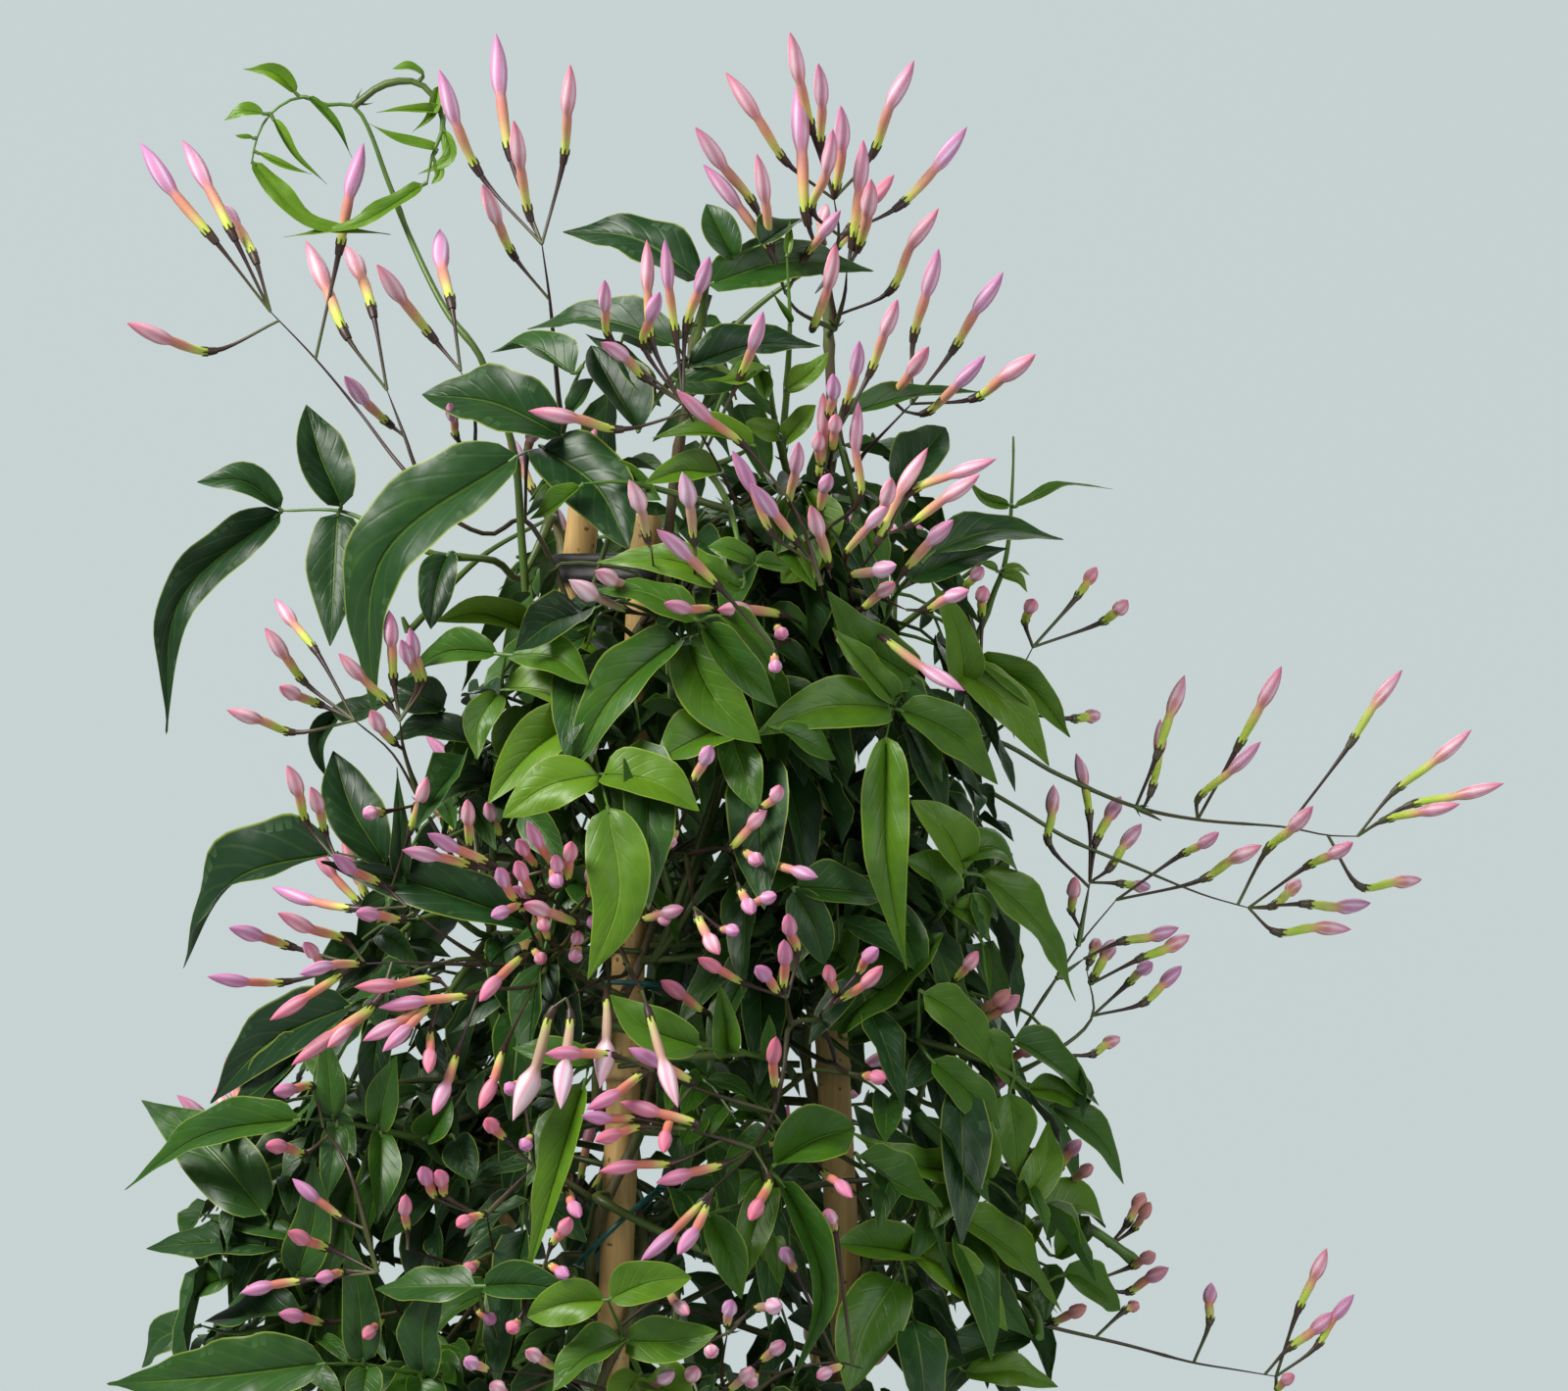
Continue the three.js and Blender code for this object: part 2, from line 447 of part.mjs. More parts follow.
    [475, 1297, 488, 1288], [505, 1349, 488, 1338], [520, 1357, 530, 1346], [271, 1169, 312, 1176],
    [279, 1114, 319, 1109], [446, 1194, 455, 1220], [430, 1190, 446, 1222], [592, 1242, 578, 1214],
    [582, 1242, 563, 1270], [580, 1302, 560, 1288], [496, 1142, 516, 1162], [517, 1112, 530, 1106],
    [534, 1170, 542, 1160],
  ]],
  ['spray_bottom', 2, 1480, -8, 55, 0.3, [
    [[740, 1450], [736, 1400], [742, 1360]],
    [[740, 1450], [800, 1400], [855, 1390], [880, 1396]],
    [[740, 1450], [690, 1440], [570, 1405], [500, 1398]],
    [[742, 1360], [768, 1334]],
  ], [
    [703, 1341, 679, 1321], [746, 1326, 742, 1352], [797, 1331, 771, 1334], [800, 1369, 777, 1388],
    [768, 1395, 745, 1417], [711, 1395, 700, 1418], [688, 1399, 661, 1420], [727, 1382, 722, 1370],
    [764, 1412, 772, 1402], [834, 1406, 858, 1393], [537, 1378, 566, 1396], [475, 1388, 498, 1397],
    [798, 1273, 812, 1298], [843, 1234, 852, 1256], [500, 1412, 520, 1424],
  ]],
  ['spray_right_edge', 3, 1230, 2, 55, 0.6, [
    [[980, 1180], [1050, 1215], [1090, 1230], [1130, 1272]],
    [[1090, 1230], [1120, 1312]],
    [[980, 1180], [990, 1100], [985, 1045], [968, 1008]],
    [[980, 1180], [1000, 1280], [1024, 1338], [1067, 1352], [1150, 1372], [1218, 1390], [1260, 1397],
      [1302, 1404]],
  ], [
    [1236, 1308, 1234, 1350], [1354, 1273, 1324, 1338], [1361, 1338, 1314, 1376], [1382, 1320, 1343, 1374],
    [1320, 1402, 1303, 1416], [1103, 1162, 1079, 1194], [1114, 1188, 1094, 1206], [1168, 1216, 1149, 1250],
    [1174, 1226, 1156, 1254], [1179, 1279, 1154, 1292], [1193, 1293, 1150, 1318], [1161, 1330, 1146, 1338],
    [1109, 1332, 1075, 1349], [1031, 1010, 998, 1032], [1041, 1015, 1001, 1042], [1057, 1068, 1030, 1081],
    [1029, 1093, 1007, 1124], [998, 970, 974, 1000],
  ]],
];

// The branches behind and below, worked out round the bush: name, vine, row where it leaves the vine, its
// bearing round the bush (0 at the back, positive to the right), and the heights of its lowest and highest
// stem.
const BRANCHES = [
  ['branch_back_left', 0, 1500, -52, 175, 440],
  ['branch_back_middle', 2, 1540, 0, 165, 455],
  ['branch_back_right', 3, 1500, 52, 175, 430],
  ['branch_low_front', 1, 1560, 180, 150, 190],
];
const STOREY = 72;
const SIDE_STEM_TURN = 24;
const BRANCH_LEAF_LENGTH = 34;
const BRANCH_LEAF_WIDTH = 11;

// ---- Solids ------------------------------------------------------------------------------------------
function toSolid(geometry) {
  geometry.deleteAttribute('normal');
  geometry.deleteAttribute('uv');
  const merged = mergeVertices(geometry, 1e-4);
  const faces = [];
  for (let first = 0; first < merged.index.count; first += 3) {
    const face = [0, 1, 2].map((corner) => merged.index.getX(first + corner));
    if (new Set(face).size === 3) faces.push(...face);
  }
  return new wasm.Manifold(new wasm.Mesh({
    numProp: 3,
    vertProperties: merged.attributes.position.array,
    triVerts: new Uint32Array(faces),
  }));
}

function join(solids) {
  return solids.reduce((whole, solid) => whole.add(solid));
}

// A tube of even thickness along a curve.
function tube(curve, radius, sides, steps) {
  const corners = Array.from({ length: sides }, (_, k) => {
    const angle = (k * 2 * Math.PI) / sides;
    return new THREE.Vector2(radius * Math.cos(angle), radius * Math.sin(angle));
  });
  const section = new THREE.Shape(corners);
  return toSolid(new THREE.ExtrudeGeometry(section, { extrudePath: curve, steps, bevelEnabled: false }));
}

// A blade or a bud along a curve: stations are [share of the length, half width, half thickness], ending in a
// point.
function loft(curve, facing, stations, sides, margin) {
  const profile = [new THREE.Vector2(0, 0), ...stations.map((_, k) => new THREE.Vector2(1, k))];
  profile.push(new THREE.Vector2(0, stations.length));
  const middles = [...stations.map(([share]) => share), 1].map((share) => curve.getPointAt(share));
  const steps = middles.slice(1).map((middle, k) => middle.clone().sub(middles[k]).normalize());
  const across = middles.at(-1).clone().sub(middles.at(-3)).cross(facing).normalize();
  const sections = stations.map(([, width, thickness], k) => {
    const along = steps[k].clone().add(steps[Math.max(0, k - 1)]).normalize();
    const side = across.clone().addScaledVector(along, -across.dot(along)).normalize();
    const normal = side.clone().cross(along);
    side.multiplyScalar(width + margin);
    normal.multiplyScalar(thickness + margin);
    return { middle: middles[k], side, normal };
  });
  sections.push({ middle: middles.at(-1), side: new THREE.Vector3(), normal: new THREE.Vector3() });
  const geometry = new THREE.LatheGeometry(profile, sides);
  const places = geometry.attributes.position;
  for (let corner = 0; corner < places.count; corner += 1) {
    const { middle, side, normal } = sections[Math.round(places.getY(corner))];
    const spot = middle.clone().addScaledVector(side, places.getX(corner));
    spot.addScaledVector(normal, places.getZ(corner));
    places.setXYZ(corner, spot.x, spot.y, spot.z);
  }
  return toSolid(geometry);
}

// Every solid placed so far, with the name of its piece and, for a leaf or bud, the joint that it grows from.
const placed = [];

function place(piece, solid, joint) {
  placed.push({ piece, solid, joint, box: solid.boundingBox() });
}

function boxesMeet(one, other) {
  return [0, 1, 2].every((axis) => one.min[axis] < other.max[axis] && other.min[axis] < one.max[axis]);
}

// Whether a solid, grown by the gap that pieces keep, stays out of every other piece, and a leaf or bud also
// out of those on its own piece that grow from another joint.
function isClear(piece, grown, joint) {
  const box = grown.boundingBox();
  const mayMeet = (other) => other.piece === piece && (!joint || !other.joint || other.joint === joint);
  const near = placed.filter((other) => !mayMeet(other) && boxesMeet(box, other.box));
  return near.every((other) => grown.intersect(other.solid).isEmpty());
}

// ---- Canes, ties, pot and soil -----------------------------------------------------------------------
const UP = new THREE.Vector3(0, 1, 0);
const CANE_SIDES = 8;
const CANE_NODE_EVERY = 88;
const CANE_NODE_SWELL = 0.4;

function caneAt(cane, height) {
  const [foot, top] = CANES[cane].map((end) => new THREE.Vector3(...end));
  return foot.lerp(top, (height - foot.z) / (top.z - foot.z));
}

// A bamboo cane along its own Y axis, with a low ridge at each node.
function caneGeometry(length, swell) {
  const profile = [new THREE.Vector2(0, 0), new THREE.Vector2(CANE_RADIUS + swell, 0)];
  for (let node = CANE_NODE_EVERY * 0.6; node < length - 5; node += CANE_NODE_EVERY) {
    profile.push(new THREE.Vector2(CANE_RADIUS + swell, node - 2));
    profile.push(new THREE.Vector2(CANE_RADIUS + CANE_NODE_SWELL + swell, node));
    profile.push(new THREE.Vector2(CANE_RADIUS + swell, node + 2));
  }
  profile.push(new THREE.Vector2(CANE_RADIUS + swell, length), new THREE.Vector2(0, length));
  return new THREE.LatheGeometry(profile, CANE_SIDES);
}

function setAlongCane(object, cane, height) {
  const [foot, top] = CANES[cane].map((end) => new THREE.Vector3(...end));
  object.position.copy(caneAt(cane, height));
  object.quaternion.setFromUnitVectors(UP, top.sub(foot).normalize());
  object.updateMatrix();
}

function caneSolid(cane, swell) {
  const stand = new THREE.Object3D();
  setAlongCane(stand, cane, SOIL_TOP - CANE_DEPTH_IN_SOIL);
  const top = new THREE.Vector3(...CANES[cane][1]);
  return toSolid(caneGeometry(top.distanceTo(stand.position), swell).applyMatrix4(stand.matrix));
}

// The moulded tie that holds the left and middle canes together near their tops: a band with round ends.
function caneTie() {
  const TIE_HEIGHT = 7;
  const TIE_WALL = 2.2;
  const TIE_LEVEL = 403;
  const [left, middle] = [caneAt(0, TIE_LEVEL), caneAt(1, TIE_LEVEL)];
  const radius = CANE_RADIUS + TIE_WALL;
  const length = left.distanceTo(middle);
  const outline = new THREE.Shape();
  outline.absarc(0, 0, radius, Math.PI / 2, -Math.PI / 2, false);
  outline.absarc(length, 0, radius, -Math.PI / 2, Math.PI / 2, false);
  const along = { depth: TIE_HEIGHT, bevelEnabled: false, curveSegments: 8 };
  const band = new THREE.ExtrudeGeometry(outline, along);
  band.rotateZ(Math.atan2(middle.y - left.y, middle.x - left.x));
  band.translate(left.x, left.y, TIE_LEVEL - TIE_HEIGHT / 2);
  return toSolid(band).subtract(caneSolid(0, GAP)).subtract(caneSolid(1, GAP));
}

// A loop of thin wire round the middle cane and its vines.
function wireTie(level, reach, tilt) {
  const WIRE_RADIUS = 0.6;
  const stand = new THREE.Object3D();
  setAlongCane(stand, 1, level);
  stand.rotateZ(THREE.MathUtils.degToRad(tilt));
  stand.rotateX(Math.PI / 2);
  stand.updateMatrix();
  return toSolid(new THREE.TorusGeometry(reach, WIRE_RADIUS, 4, 18).applyMatrix4(stand.matrix));
}

function potRadiusAt(height) {
  return THREE.MathUtils.lerp(POT_FOOT_RADIUS, POT_RIM_RADIUS - RIM_STEP, height / POT_HEIGHT);
}

function upright(geometry) {
  return geometry.rotateX(Math.PI / 2);
}

// A plain round pot with a stepped rim and four drain holes.
function pot() {
  const HOLES = 4;
  const HOLE_RADIUS = 5;
  const HOLE_CIRCLE = 40;
  const step = POT_HEIGHT - RIM_HEIGHT;
  const outside = potRadiusAt(step);
  const wall = upright(new THREE.LatheGeometry([
    new THREE.Vector2(0, 0), new THREE.Vector2(POT_FOOT_RADIUS, 0), new THREE.Vector2(outside, step),
    new THREE.Vector2(outside + RIM_STEP, step), new THREE.Vector2(POT_RIM_RADIUS, POT_HEIGHT),
    new THREE.Vector2(POT_RIM_RADIUS - POT_WALL, POT_HEIGHT),
    new THREE.Vector2(outside + RIM_STEP - POT_WALL, step + POT_WALL),
    new THREE.Vector2(outside - POT_WALL, step),
    new THREE.Vector2(potRadiusAt(POT_FLOOR) - POT_WALL, POT_FLOOR), new THREE.Vector2(0, POT_FLOOR),
  ], POT_SIDES));
  const hole = upright(new THREE.CylinderGeometry(HOLE_RADIUS, HOLE_RADIUS, 3 * POT_FLOOR, 8));
  hole.translate(HOLE_CIRCLE, 0, 0);
  let solid = toSolid(wall);
  for (let k = 0; k < HOLES; k += 1) {
    solid = solid.subtract(toSolid(hole.clone().rotateZ((k * 2 * Math.PI) / HOLES)));
  }
  return solid;
}

// The soil fills the pot to a low mound, with a socket for every cane and vine.
function soil() {
  const BOTTOM = POT_FLOOR + GAP;
  const mound = upright(new THREE.LatheGeometry([
    new THREE.Vector2(0, BOTTOM), new THREE.Vector2(potRadiusAt(BOTTOM) - POT_WALL - GAP, BOTTOM),
    new THREE.Vector2(potRadiusAt(SOIL_TOP) - POT_WALL - GAP, SOIL_TOP),
    new THREE.Vector2(potRadiusAt(SOIL_TOP) * 0.6, SOIL_TOP + SOIL_MOUND * 0.7),
    new THREE.Vector2(0, SOIL_TOP + SOIL_MOUND),
  ], POT_SIDES));
  let solid = toSolid(mound);
  CANES.forEach((_, cane) => {
    solid = solid.subtract(caneSolid(cane, GAP));
  });
  vines.forEach((vine) => {
    solid = solid.subtract(tube(vine.curve, VINE_RADIUS + 2 * GAP, VINE_SIDES, vine.steps));
  });
  return solid;
}

// ---- Vines -------------------------------------------------------------------------------------------
const VINE_SIDES = 4;
const LEAVING_TURN = 1.05;

// How far the vine stands from its cane's axis, and its bearing round it, at a height.
function twineAt(vine, height) {
  const share = THREE.MathUtils.clamp((height - SOIL_TOP) / (TWINE_START - SOIL_TOP), 0, 1);
  const reach = THREE.MathUtils.lerp(ROOT_REACH, TWINE_REACH, Math.sqrt(share));
  const bearing = THREE.MathUtils.degToRad(vine.bearing + (360 * (height - TWINE_TOP)) / TWINE_PITCH);
  const outward = new THREE.Vector3(Math.cos(bearing), Math.sin(bearing), 0);
  return { outward, bearing, middle: caneAt(vine.cane, height).addScaledVector(outward, reach) };
}

function growVine([name, cane, bearing, depth, top]) {
  const TURN_STEPS = 8;
  const vine = { name, cane, bearing };
  const points = [];
  const bottom = SOIL_TOP - VINE_DEPTH_IN_SOIL;
  const rise = TWINE_PITCH / TURN_STEPS;
  for (let height = TWINE_TOP; height > bottom; height -= rise) points.unshift(twineAt(vine, height).middle);
  top.forEach(([column, row]) => points.push(atDepth(column, row, depth)));
  vine.curve = new THREE.CatmullRomCurve3(points, false, 'centripetal');
  vine.steps = Math.round(points.length * 1.25);
  vine.centres = vine.curve.getSpacedPoints(vine.steps);
  return vine;
}

// Where a stem leaves its vine: on the outer skin, within LEAVING_TURN of facing the target, as near as can
// be to the height.
function leaveVine(vine, height, target) {
  let middle;
  let outward;
  if (height > TWINE_TOP && vine.centres.at(-1).z > TWINE_TOP + TWINE_PITCH / 4) {
    const distance = (centre) => Math.abs(centre.z - height);
    middle = vine.centres.reduce((best, centre) => (distance(centre) < distance(best) ? centre : best));
    const next = vine.centres[Math.min(vine.centres.indexOf(middle) + 1, vine.centres.length - 1)];
    const last = vine.centres[vine.centres.indexOf(next) - 1];
    const along = next.clone().sub(last).normalize();
    outward = target.clone().sub(middle);
    outward.addScaledVector(along, -outward.dot(along)).normalize();
  } else {
    const axis = caneAt(vine.cane, height);
    const wanted = Math.atan2(target.y - axis.y, target.x - axis.x);
    const ahead = wanted - twineAt(vine, height).bearing;
    const turn = THREE.MathUtils.euclideanModulo(ahead + Math.PI, 2 * Math.PI) - Math.PI;
    const excess = Math.sign(turn) * Math.max(0, Math.abs(turn) - LEAVING_TURN);
    let level = height + (TWINE_PITCH * excess) / (2 * Math.PI);
    if (level > TWINE_TOP - 4) level -= TWINE_PITCH;
    if (level < TWINE_START) level += TWINE_PITCH;
    ({ middle, outward } = twineAt(vine, level));
  }
  return { start: middle.clone().addScaledVector(outward, VINE_RADIUS + GAP), outward };
}

// ---- Stems, leaves and buds --------------------------------------------------------------------------
const STEM_SIDES = 3;
const STEM_STEP = 18;

// The grid place of a point, the reverse of atDepth.
function onGrid(point) {
  const flat = point.clone().sub(EYE).divideScalar(1 - point.y / EYE.y).add(EYE);
  return [AXIS_COLUMN + flat.x / SQUARE, FLOOR_ROW - flat.z / SQUARE];
}

// Adds a stem to a plant piece: its curve, and the places halfway between its rings and just inside its end,
// where leaves and buds may join it.
function addStem(growth, points) {
  const curve = new THREE.CatmullRomCurve3(points, false, 'centripetal');
  const steps = Math.max(2, Math.round(curve.getLength() / STEM_STEP));
  growth.stems.push({ curve, steps });
  const rings = curve.getSpacedPoints(steps);
  rings.slice(1).forEach((ring, k) => {
    const centre = rings[k].clone().lerp(ring, k === steps - 1 ? 0.85 : 0.5);
    growth.joints.push({ centre, grid: onGrid(centre) });
  });
}

function nearestJoint(growth, [column, row], cost = () => 1) {
  const distance = (joint) => Math.hypot(joint.grid[0] - column, joint.grid[1] - row) * cost(joint);
  return growth.joints.reduce((best, joint) => (distance(joint) < distance(best) ? joint : best)).centre;
}

// A drawn plant piece: its first stem comes from the vine, and each later one from a bend of an earlier one.
function growDrawn([, vine, row, setBack], stems) {
  const growth = { stems: [], joints: [] };
  const surface = ([column, line]) => setBack - bulge(column, line);
  stems.forEach((stem, order) => {
    const points = [];
    if (order === 0) {
      const target = atDepth(...stem[0], surface(stem[0]));
      const { start, outward } = leaveVine(vines[vine], (FLOOR_ROW - row) * SQUARE, target);
      points.push(start, start.clone().addScaledVector(outward, 6));
    } else {
      points.push(nearestJoint(growth, stem[0]));
    }
    const from = points[0].y;
    const bends = order === 0 ? stem : stem.slice(1);
    bends.forEach((bend, k) => {
      const depth = THREE.MathUtils.lerp(from, surface(bend), (k + 1) / bends.length);
      points.push(atDepth(...bend, depth));
    });
    addStem(growth, points);
  });
  return growth;
}

// A branch worked out round the bush: a rising stem with side stems left and right of it at every storey.
function growBranch([, vine, row, bearing, low, high]) {
  const growth = { stems: [], joints: [], ends: [] };
  const around = (turn, height, share) => {
    const { middle, half } = bushAt(height);
    const angle = THREE.MathUtils.degToRad(bearing + turn);
    const reach = half * share;
    return new THREE.Vector3(middle + reach * Math.sin(angle), BULGE * reach * Math.cos(angle), height);
  };
  const { start, outward } = leaveVine(vines[vine], (FLOOR_ROW - row) * SQUARE, around(0, low, 0.8));
  const points = [start, start.clone().addScaledVector(outward, 6)];
  const heights = [];
  for (let height = low; height <= high; height += STOREY) heights.push(height);
  heights.forEach((height, k) => points.push(around(8 * (-1) ** k, height, 0.8)));
  addStem(growth, points);
  heights.forEach((height) => {
    [-1, 1].forEach((side) => {
      const fork = growth.joints[0].centre.clone();
      const wanted = around(0, height, 0.8);
      growth.joints.forEach(({ centre }) => {
        if (centre.distanceTo(wanted) < fork.distanceTo(wanted)) fork.copy(centre);
      });
      const end = around(side * SIDE_STEM_TURN * 1.2, height + 26, 0.96);
      addStem(growth, [fork, around(side * SIDE_STEM_TURN * 0.6, height + 16, 0.9), end]);
      growth.ends.push(growth.joints.length - 1, growth.joints.length - 3);
    });
  });
  return growth;
}

function curveThrough(points) {
  const apart = points.filter((point, k) => k === 0 || point.distanceTo(points[k - 1]) > 1.5);
  return new THREE.CatmullRomCurve3(apart, false, 'centripetal');
}

// The stations of a blade or bud whose stalk is a share of the curve: [share of the blade, half width, half
// thickness].
function stationsFrom(stalk, stalkRadius, stations) {
  const rings = stations.map(([share, width, thickness]) => [stalk + share * (1 - stalk), width, thickness]);
  const foot = [0, stalkRadius, stalkRadius];
  return stalk > 0.14 ? [foot, [stalk, stalkRadius, stalkRadius], ...rings] : [foot, ...rings];
}

const LEAF_FACING = new THREE.Vector3(0, -1, 0.6);
const LEAF_THICKNESS = 0.6;
const STALK_RADIUS = 0.55;
const BLADE_SIDES = 3;

function leafSolid(curve, stalk, facing, halfWidth, margin) {
  const stations = stationsFrom(stalk, STALK_RADIUS, [
    [0.34, halfWidth, LEAF_THICKNESS], [0.74, 0.66 * halfWidth, LEAF_THICKNESS * 0.8],
  ]);
  return loft(curve, facing, stations, BLADE_SIDES, margin);
}

// A drawn leaf, from the stem through its base and its bowed middle to its tip.
function drawnLeaf(growth, [column, row, tipColumn, tipRow, width, bow], setBack, shift) {
  const reach = Math.hypot(tipColumn - column, tipRow - row);
  const joint = nearestJoint(growth, [column, row]);
  const middleColumn = (column + tipColumn) / 2 - (bow * (tipRow - row)) / reach;
  const middleRow = (row + tipRow) / 2 + (bow * (tipColumn - column)) / reach;
  const baseDepth = (joint.y + setBack - bulge(column, row) + shift) / 2;
  const most = 0.55 * reach * SQUARE;
  const fall = THREE.MathUtils.clamp(setBack - bulge(tipColumn, tipRow) + shift - baseDepth, -most, most);
  const base = atDepth(column, row, baseDepth);
  const middle = atDepth(middleColumn, middleRow, baseDepth + fall / 2 - 0.05 * reach * SQUARE);
  const tip = atDepth(tipColumn, tipRow, baseDepth + fall);
  const along = tip.clone().sub(base).normalize();
  const side = along.clone().cross(LEAF_FACING).normalize();
  const seen = Math.max(0.5, Math.abs(side.cross(along).y));
  const stalkLength = joint.distanceTo(base);
  const stalk = stalkLength / (stalkLength + base.distanceTo(middle) + middle.distanceTo(tip));
  const curve = curveThrough([joint, base, middle, tip]);
  const halfWidth = (width * SQUARE) / 2 / seen;
  return { joint, withMargin: (margin) => leafSolid(curve, stalk, LEAF_FACING, halfWidth, margin) };
}

// A closed bud on its stalk: a slender tube that swells to a pointed limb.
const TUBE_SHARE = 0.045;
const LIMB_SHARE = 0.1;
const LEAST_LIMB = 1.3;
const BUD_SIDES = 3;

function drawnBud(growth, [tipColumn, tipRow, column, row], setBack, fullLength, shift) {
  const seen = Math.hypot(tipColumn - column, tipRow - row);
  const lean = (joint) => {
    const [acrossGap, downGap] = [column - joint.grid[0], row - joint.grid[1]];
    const gap = Math.hypot(acrossGap, downGap) + 1;
    return 1.6 - (acrossGap * (tipColumn - column) + downGap * (tipRow - row)) / (gap * seen);
  };
  const joint = nearestJoint(growth, [column, row], lean);
  const hidden = Math.min(Math.sqrt(Math.max(0, fullLength ** 2 - seen ** 2)), 1.4 * seen) * SQUARE;
  const away = bulge(tipColumn, tipRow) < 0.3 * bulge(AXIS_COLUMN, tipRow) && grain(tipColumn + tipRow) > 0.5;
  const depth = (joint.y + setBack - bulge(column, row)) / 2 + shift;
  const calyx = atDepth(column, row, depth);
  const tip = atDepth(tipColumn, tipRow, depth + (away ? hidden : -hidden));
  const length = calyx.distanceTo(tip);
  const stalkLength = joint.distanceTo(calyx);
  const limb = Math.max(LIMB_SHARE * length, LEAST_LIMB);
  const stations = stationsFrom(stalkLength / (stalkLength + length), STALK_RADIUS, [
    [0.1, TUBE_SHARE * length + 0.3, TUBE_SHARE * length + 0.3], [0.7, limb, limb],
  ]);
  const curve = curveThrough([joint, calyx, calyx.clone().lerp(tip, 0.5), tip]);
  return { joint, withMargin: (margin) => loft(curve, LEAF_FACING, stations, BUD_SIDES, margin) };
}

// A leaf of a worked-out branch: it leaves its joint sideways and outward, and droops.
function branchLeaf(joint, turn, seed, shift) {
  const outward = new THREE.Vector3(joint.x - bushAt(joint.z).middle, joint.y / BULGE, 0).normalize();
  const sideways = turn + (grain(seed) - 0.5) * 0.6;
  const heading = outward.clone().applyAxisAngle(new THREE.Vector3(0, 0, 1), sideways);
  const length = BRANCH_LEAF_LENGTH * (0.75 + 0.5 * grain(seed + 0.4));
  const drop = 0.25 + 0.5 * grain(seed + 0.7) + shift / 24;
  const middle = joint.clone().addScaledVector(heading, length * 0.5).setZ(joint.z - length * 0.1 * drop);
  const tip = joint.clone().addScaledVector(heading, length * 0.85).setZ(joint.z - length * drop);
  const facing = outward.clone().setZ(1);
  const curve = curveThrough([joint, middle, tip]);
  const halfWidth = BRANCH_LEAF_WIDTH * (0.35 + 0.3 * grain(seed));
  return { joint, withMargin: (margin) => leafSolid(curve, 0.12, facing, halfWidth, margin) };
}

// ---- Assembly ----------------------------------------------------------------------------------------
const PAINTS = {
  pot: 0x4a3a33, soil: 0x2e2119, cane: 0xc09a62, tie: 0x151515, wire: 0x1f6f66, vine: 0x55702c,
};
const DARK_LEAF = new THREE.Color(0x1d4a2b);
const BRIGHT_LEAF = new THREE.Color(0x4f8b2c);
const PALE_BUD = new THREE.Color(0xf0dce4);
const ROSY_BUD = new THREE.Color(0xd0608c);
const plant = new THREE.Group();

function addMesh(name, solid, color, roughness) {
  const { numProp, vertProperties, triVerts } = solid.getMesh();
  const geometry = new THREE.BufferGeometry();
  geometry.setAttribute('position', new THREE.BufferAttribute(vertProperties, numProp));
  geometry.setIndex(new THREE.BufferAttribute(triVerts, 1));
  geometry.computeVertexNormals();
  const mesh = new THREE.Mesh(geometry, new THREE.MeshStandardMaterial({ color, roughness, metalness: 0 }));
  mesh.name = name;
  plant.add(mesh);
}

const vines = VINES.map(growVine);
const fixed = [
  ['pot', pot(), 'pot'],
  ['soil', soil(), 'soil'],
  ['cane_left', caneSolid(0, 0), 'cane'],
  ['cane_middle', caneSolid(1, 0), 'cane'],
  ['cane_right', caneSolid(2, 0), 'cane'],
  ['cane_tie', caneTie(), 'tie'],
  ['wire_tie_upper', wireTie(306, 9, 0), 'wire'],
  ['wire_tie_lower', wireTie(250, 12.2, 45), 'wire'],
  ...vines.map((vine) => [vine.name, tube(vine.curve, VINE_RADIUS, VINE_SIDES, vine.steps), 'vine']),
];
fixed.forEach(([name, solid, paint]) => {
  place(name, solid);
  addMesh(name, solid, PAINTS[paint], 0.7);
});

const LEAF_SHIFTS = [0, -3, 3, -6, 6, -9, 9, -12];

function placeStems(name, radius, growth) {
  const solidsOf = (margin) => growth.stems.map(({ curve, steps }) => {
    return tube(curve, radius + margin, STEM_SIDES, steps);
  });
  if (!solidsOf(GAP).every((grown) => isClear(name, grown))) throw new Error(`${name} meets another piece`);
  growth.solids = solidsOf(0);
  growth.solids.forEach((solid) => place(name, solid));
  return growth;
}

// Adds a leaf or bud at the first shift that keeps it clear of the other pieces, or leaves it out.
function placeOrgan(name, growth, grow) {
  for (const shift of LEAF_SHIFTS) {
    const { joint, withMargin } = grow(shift);
    if (isClear(name, withMargin(GAP), joint)) {
      const solid = withMargin(0);
      place(name, solid, joint);
      growth.solids.push(solid);
      return;
    }
  }
}

const shoots = SHOOTS.map((shoot) => placeStems(shoot[0], SHOOT_RADIUS, growDrawn(shoot, shoot[5])));
const sprays = SPRAYS.map((spray) => placeStems(spray[0], SPRAY_RADIUS, growDrawn(spray, spray[6])));
const branches = BRANCHES.map((branch) => placeStems(branch[0], SHOOT_RADIUS, growBranch(branch)));

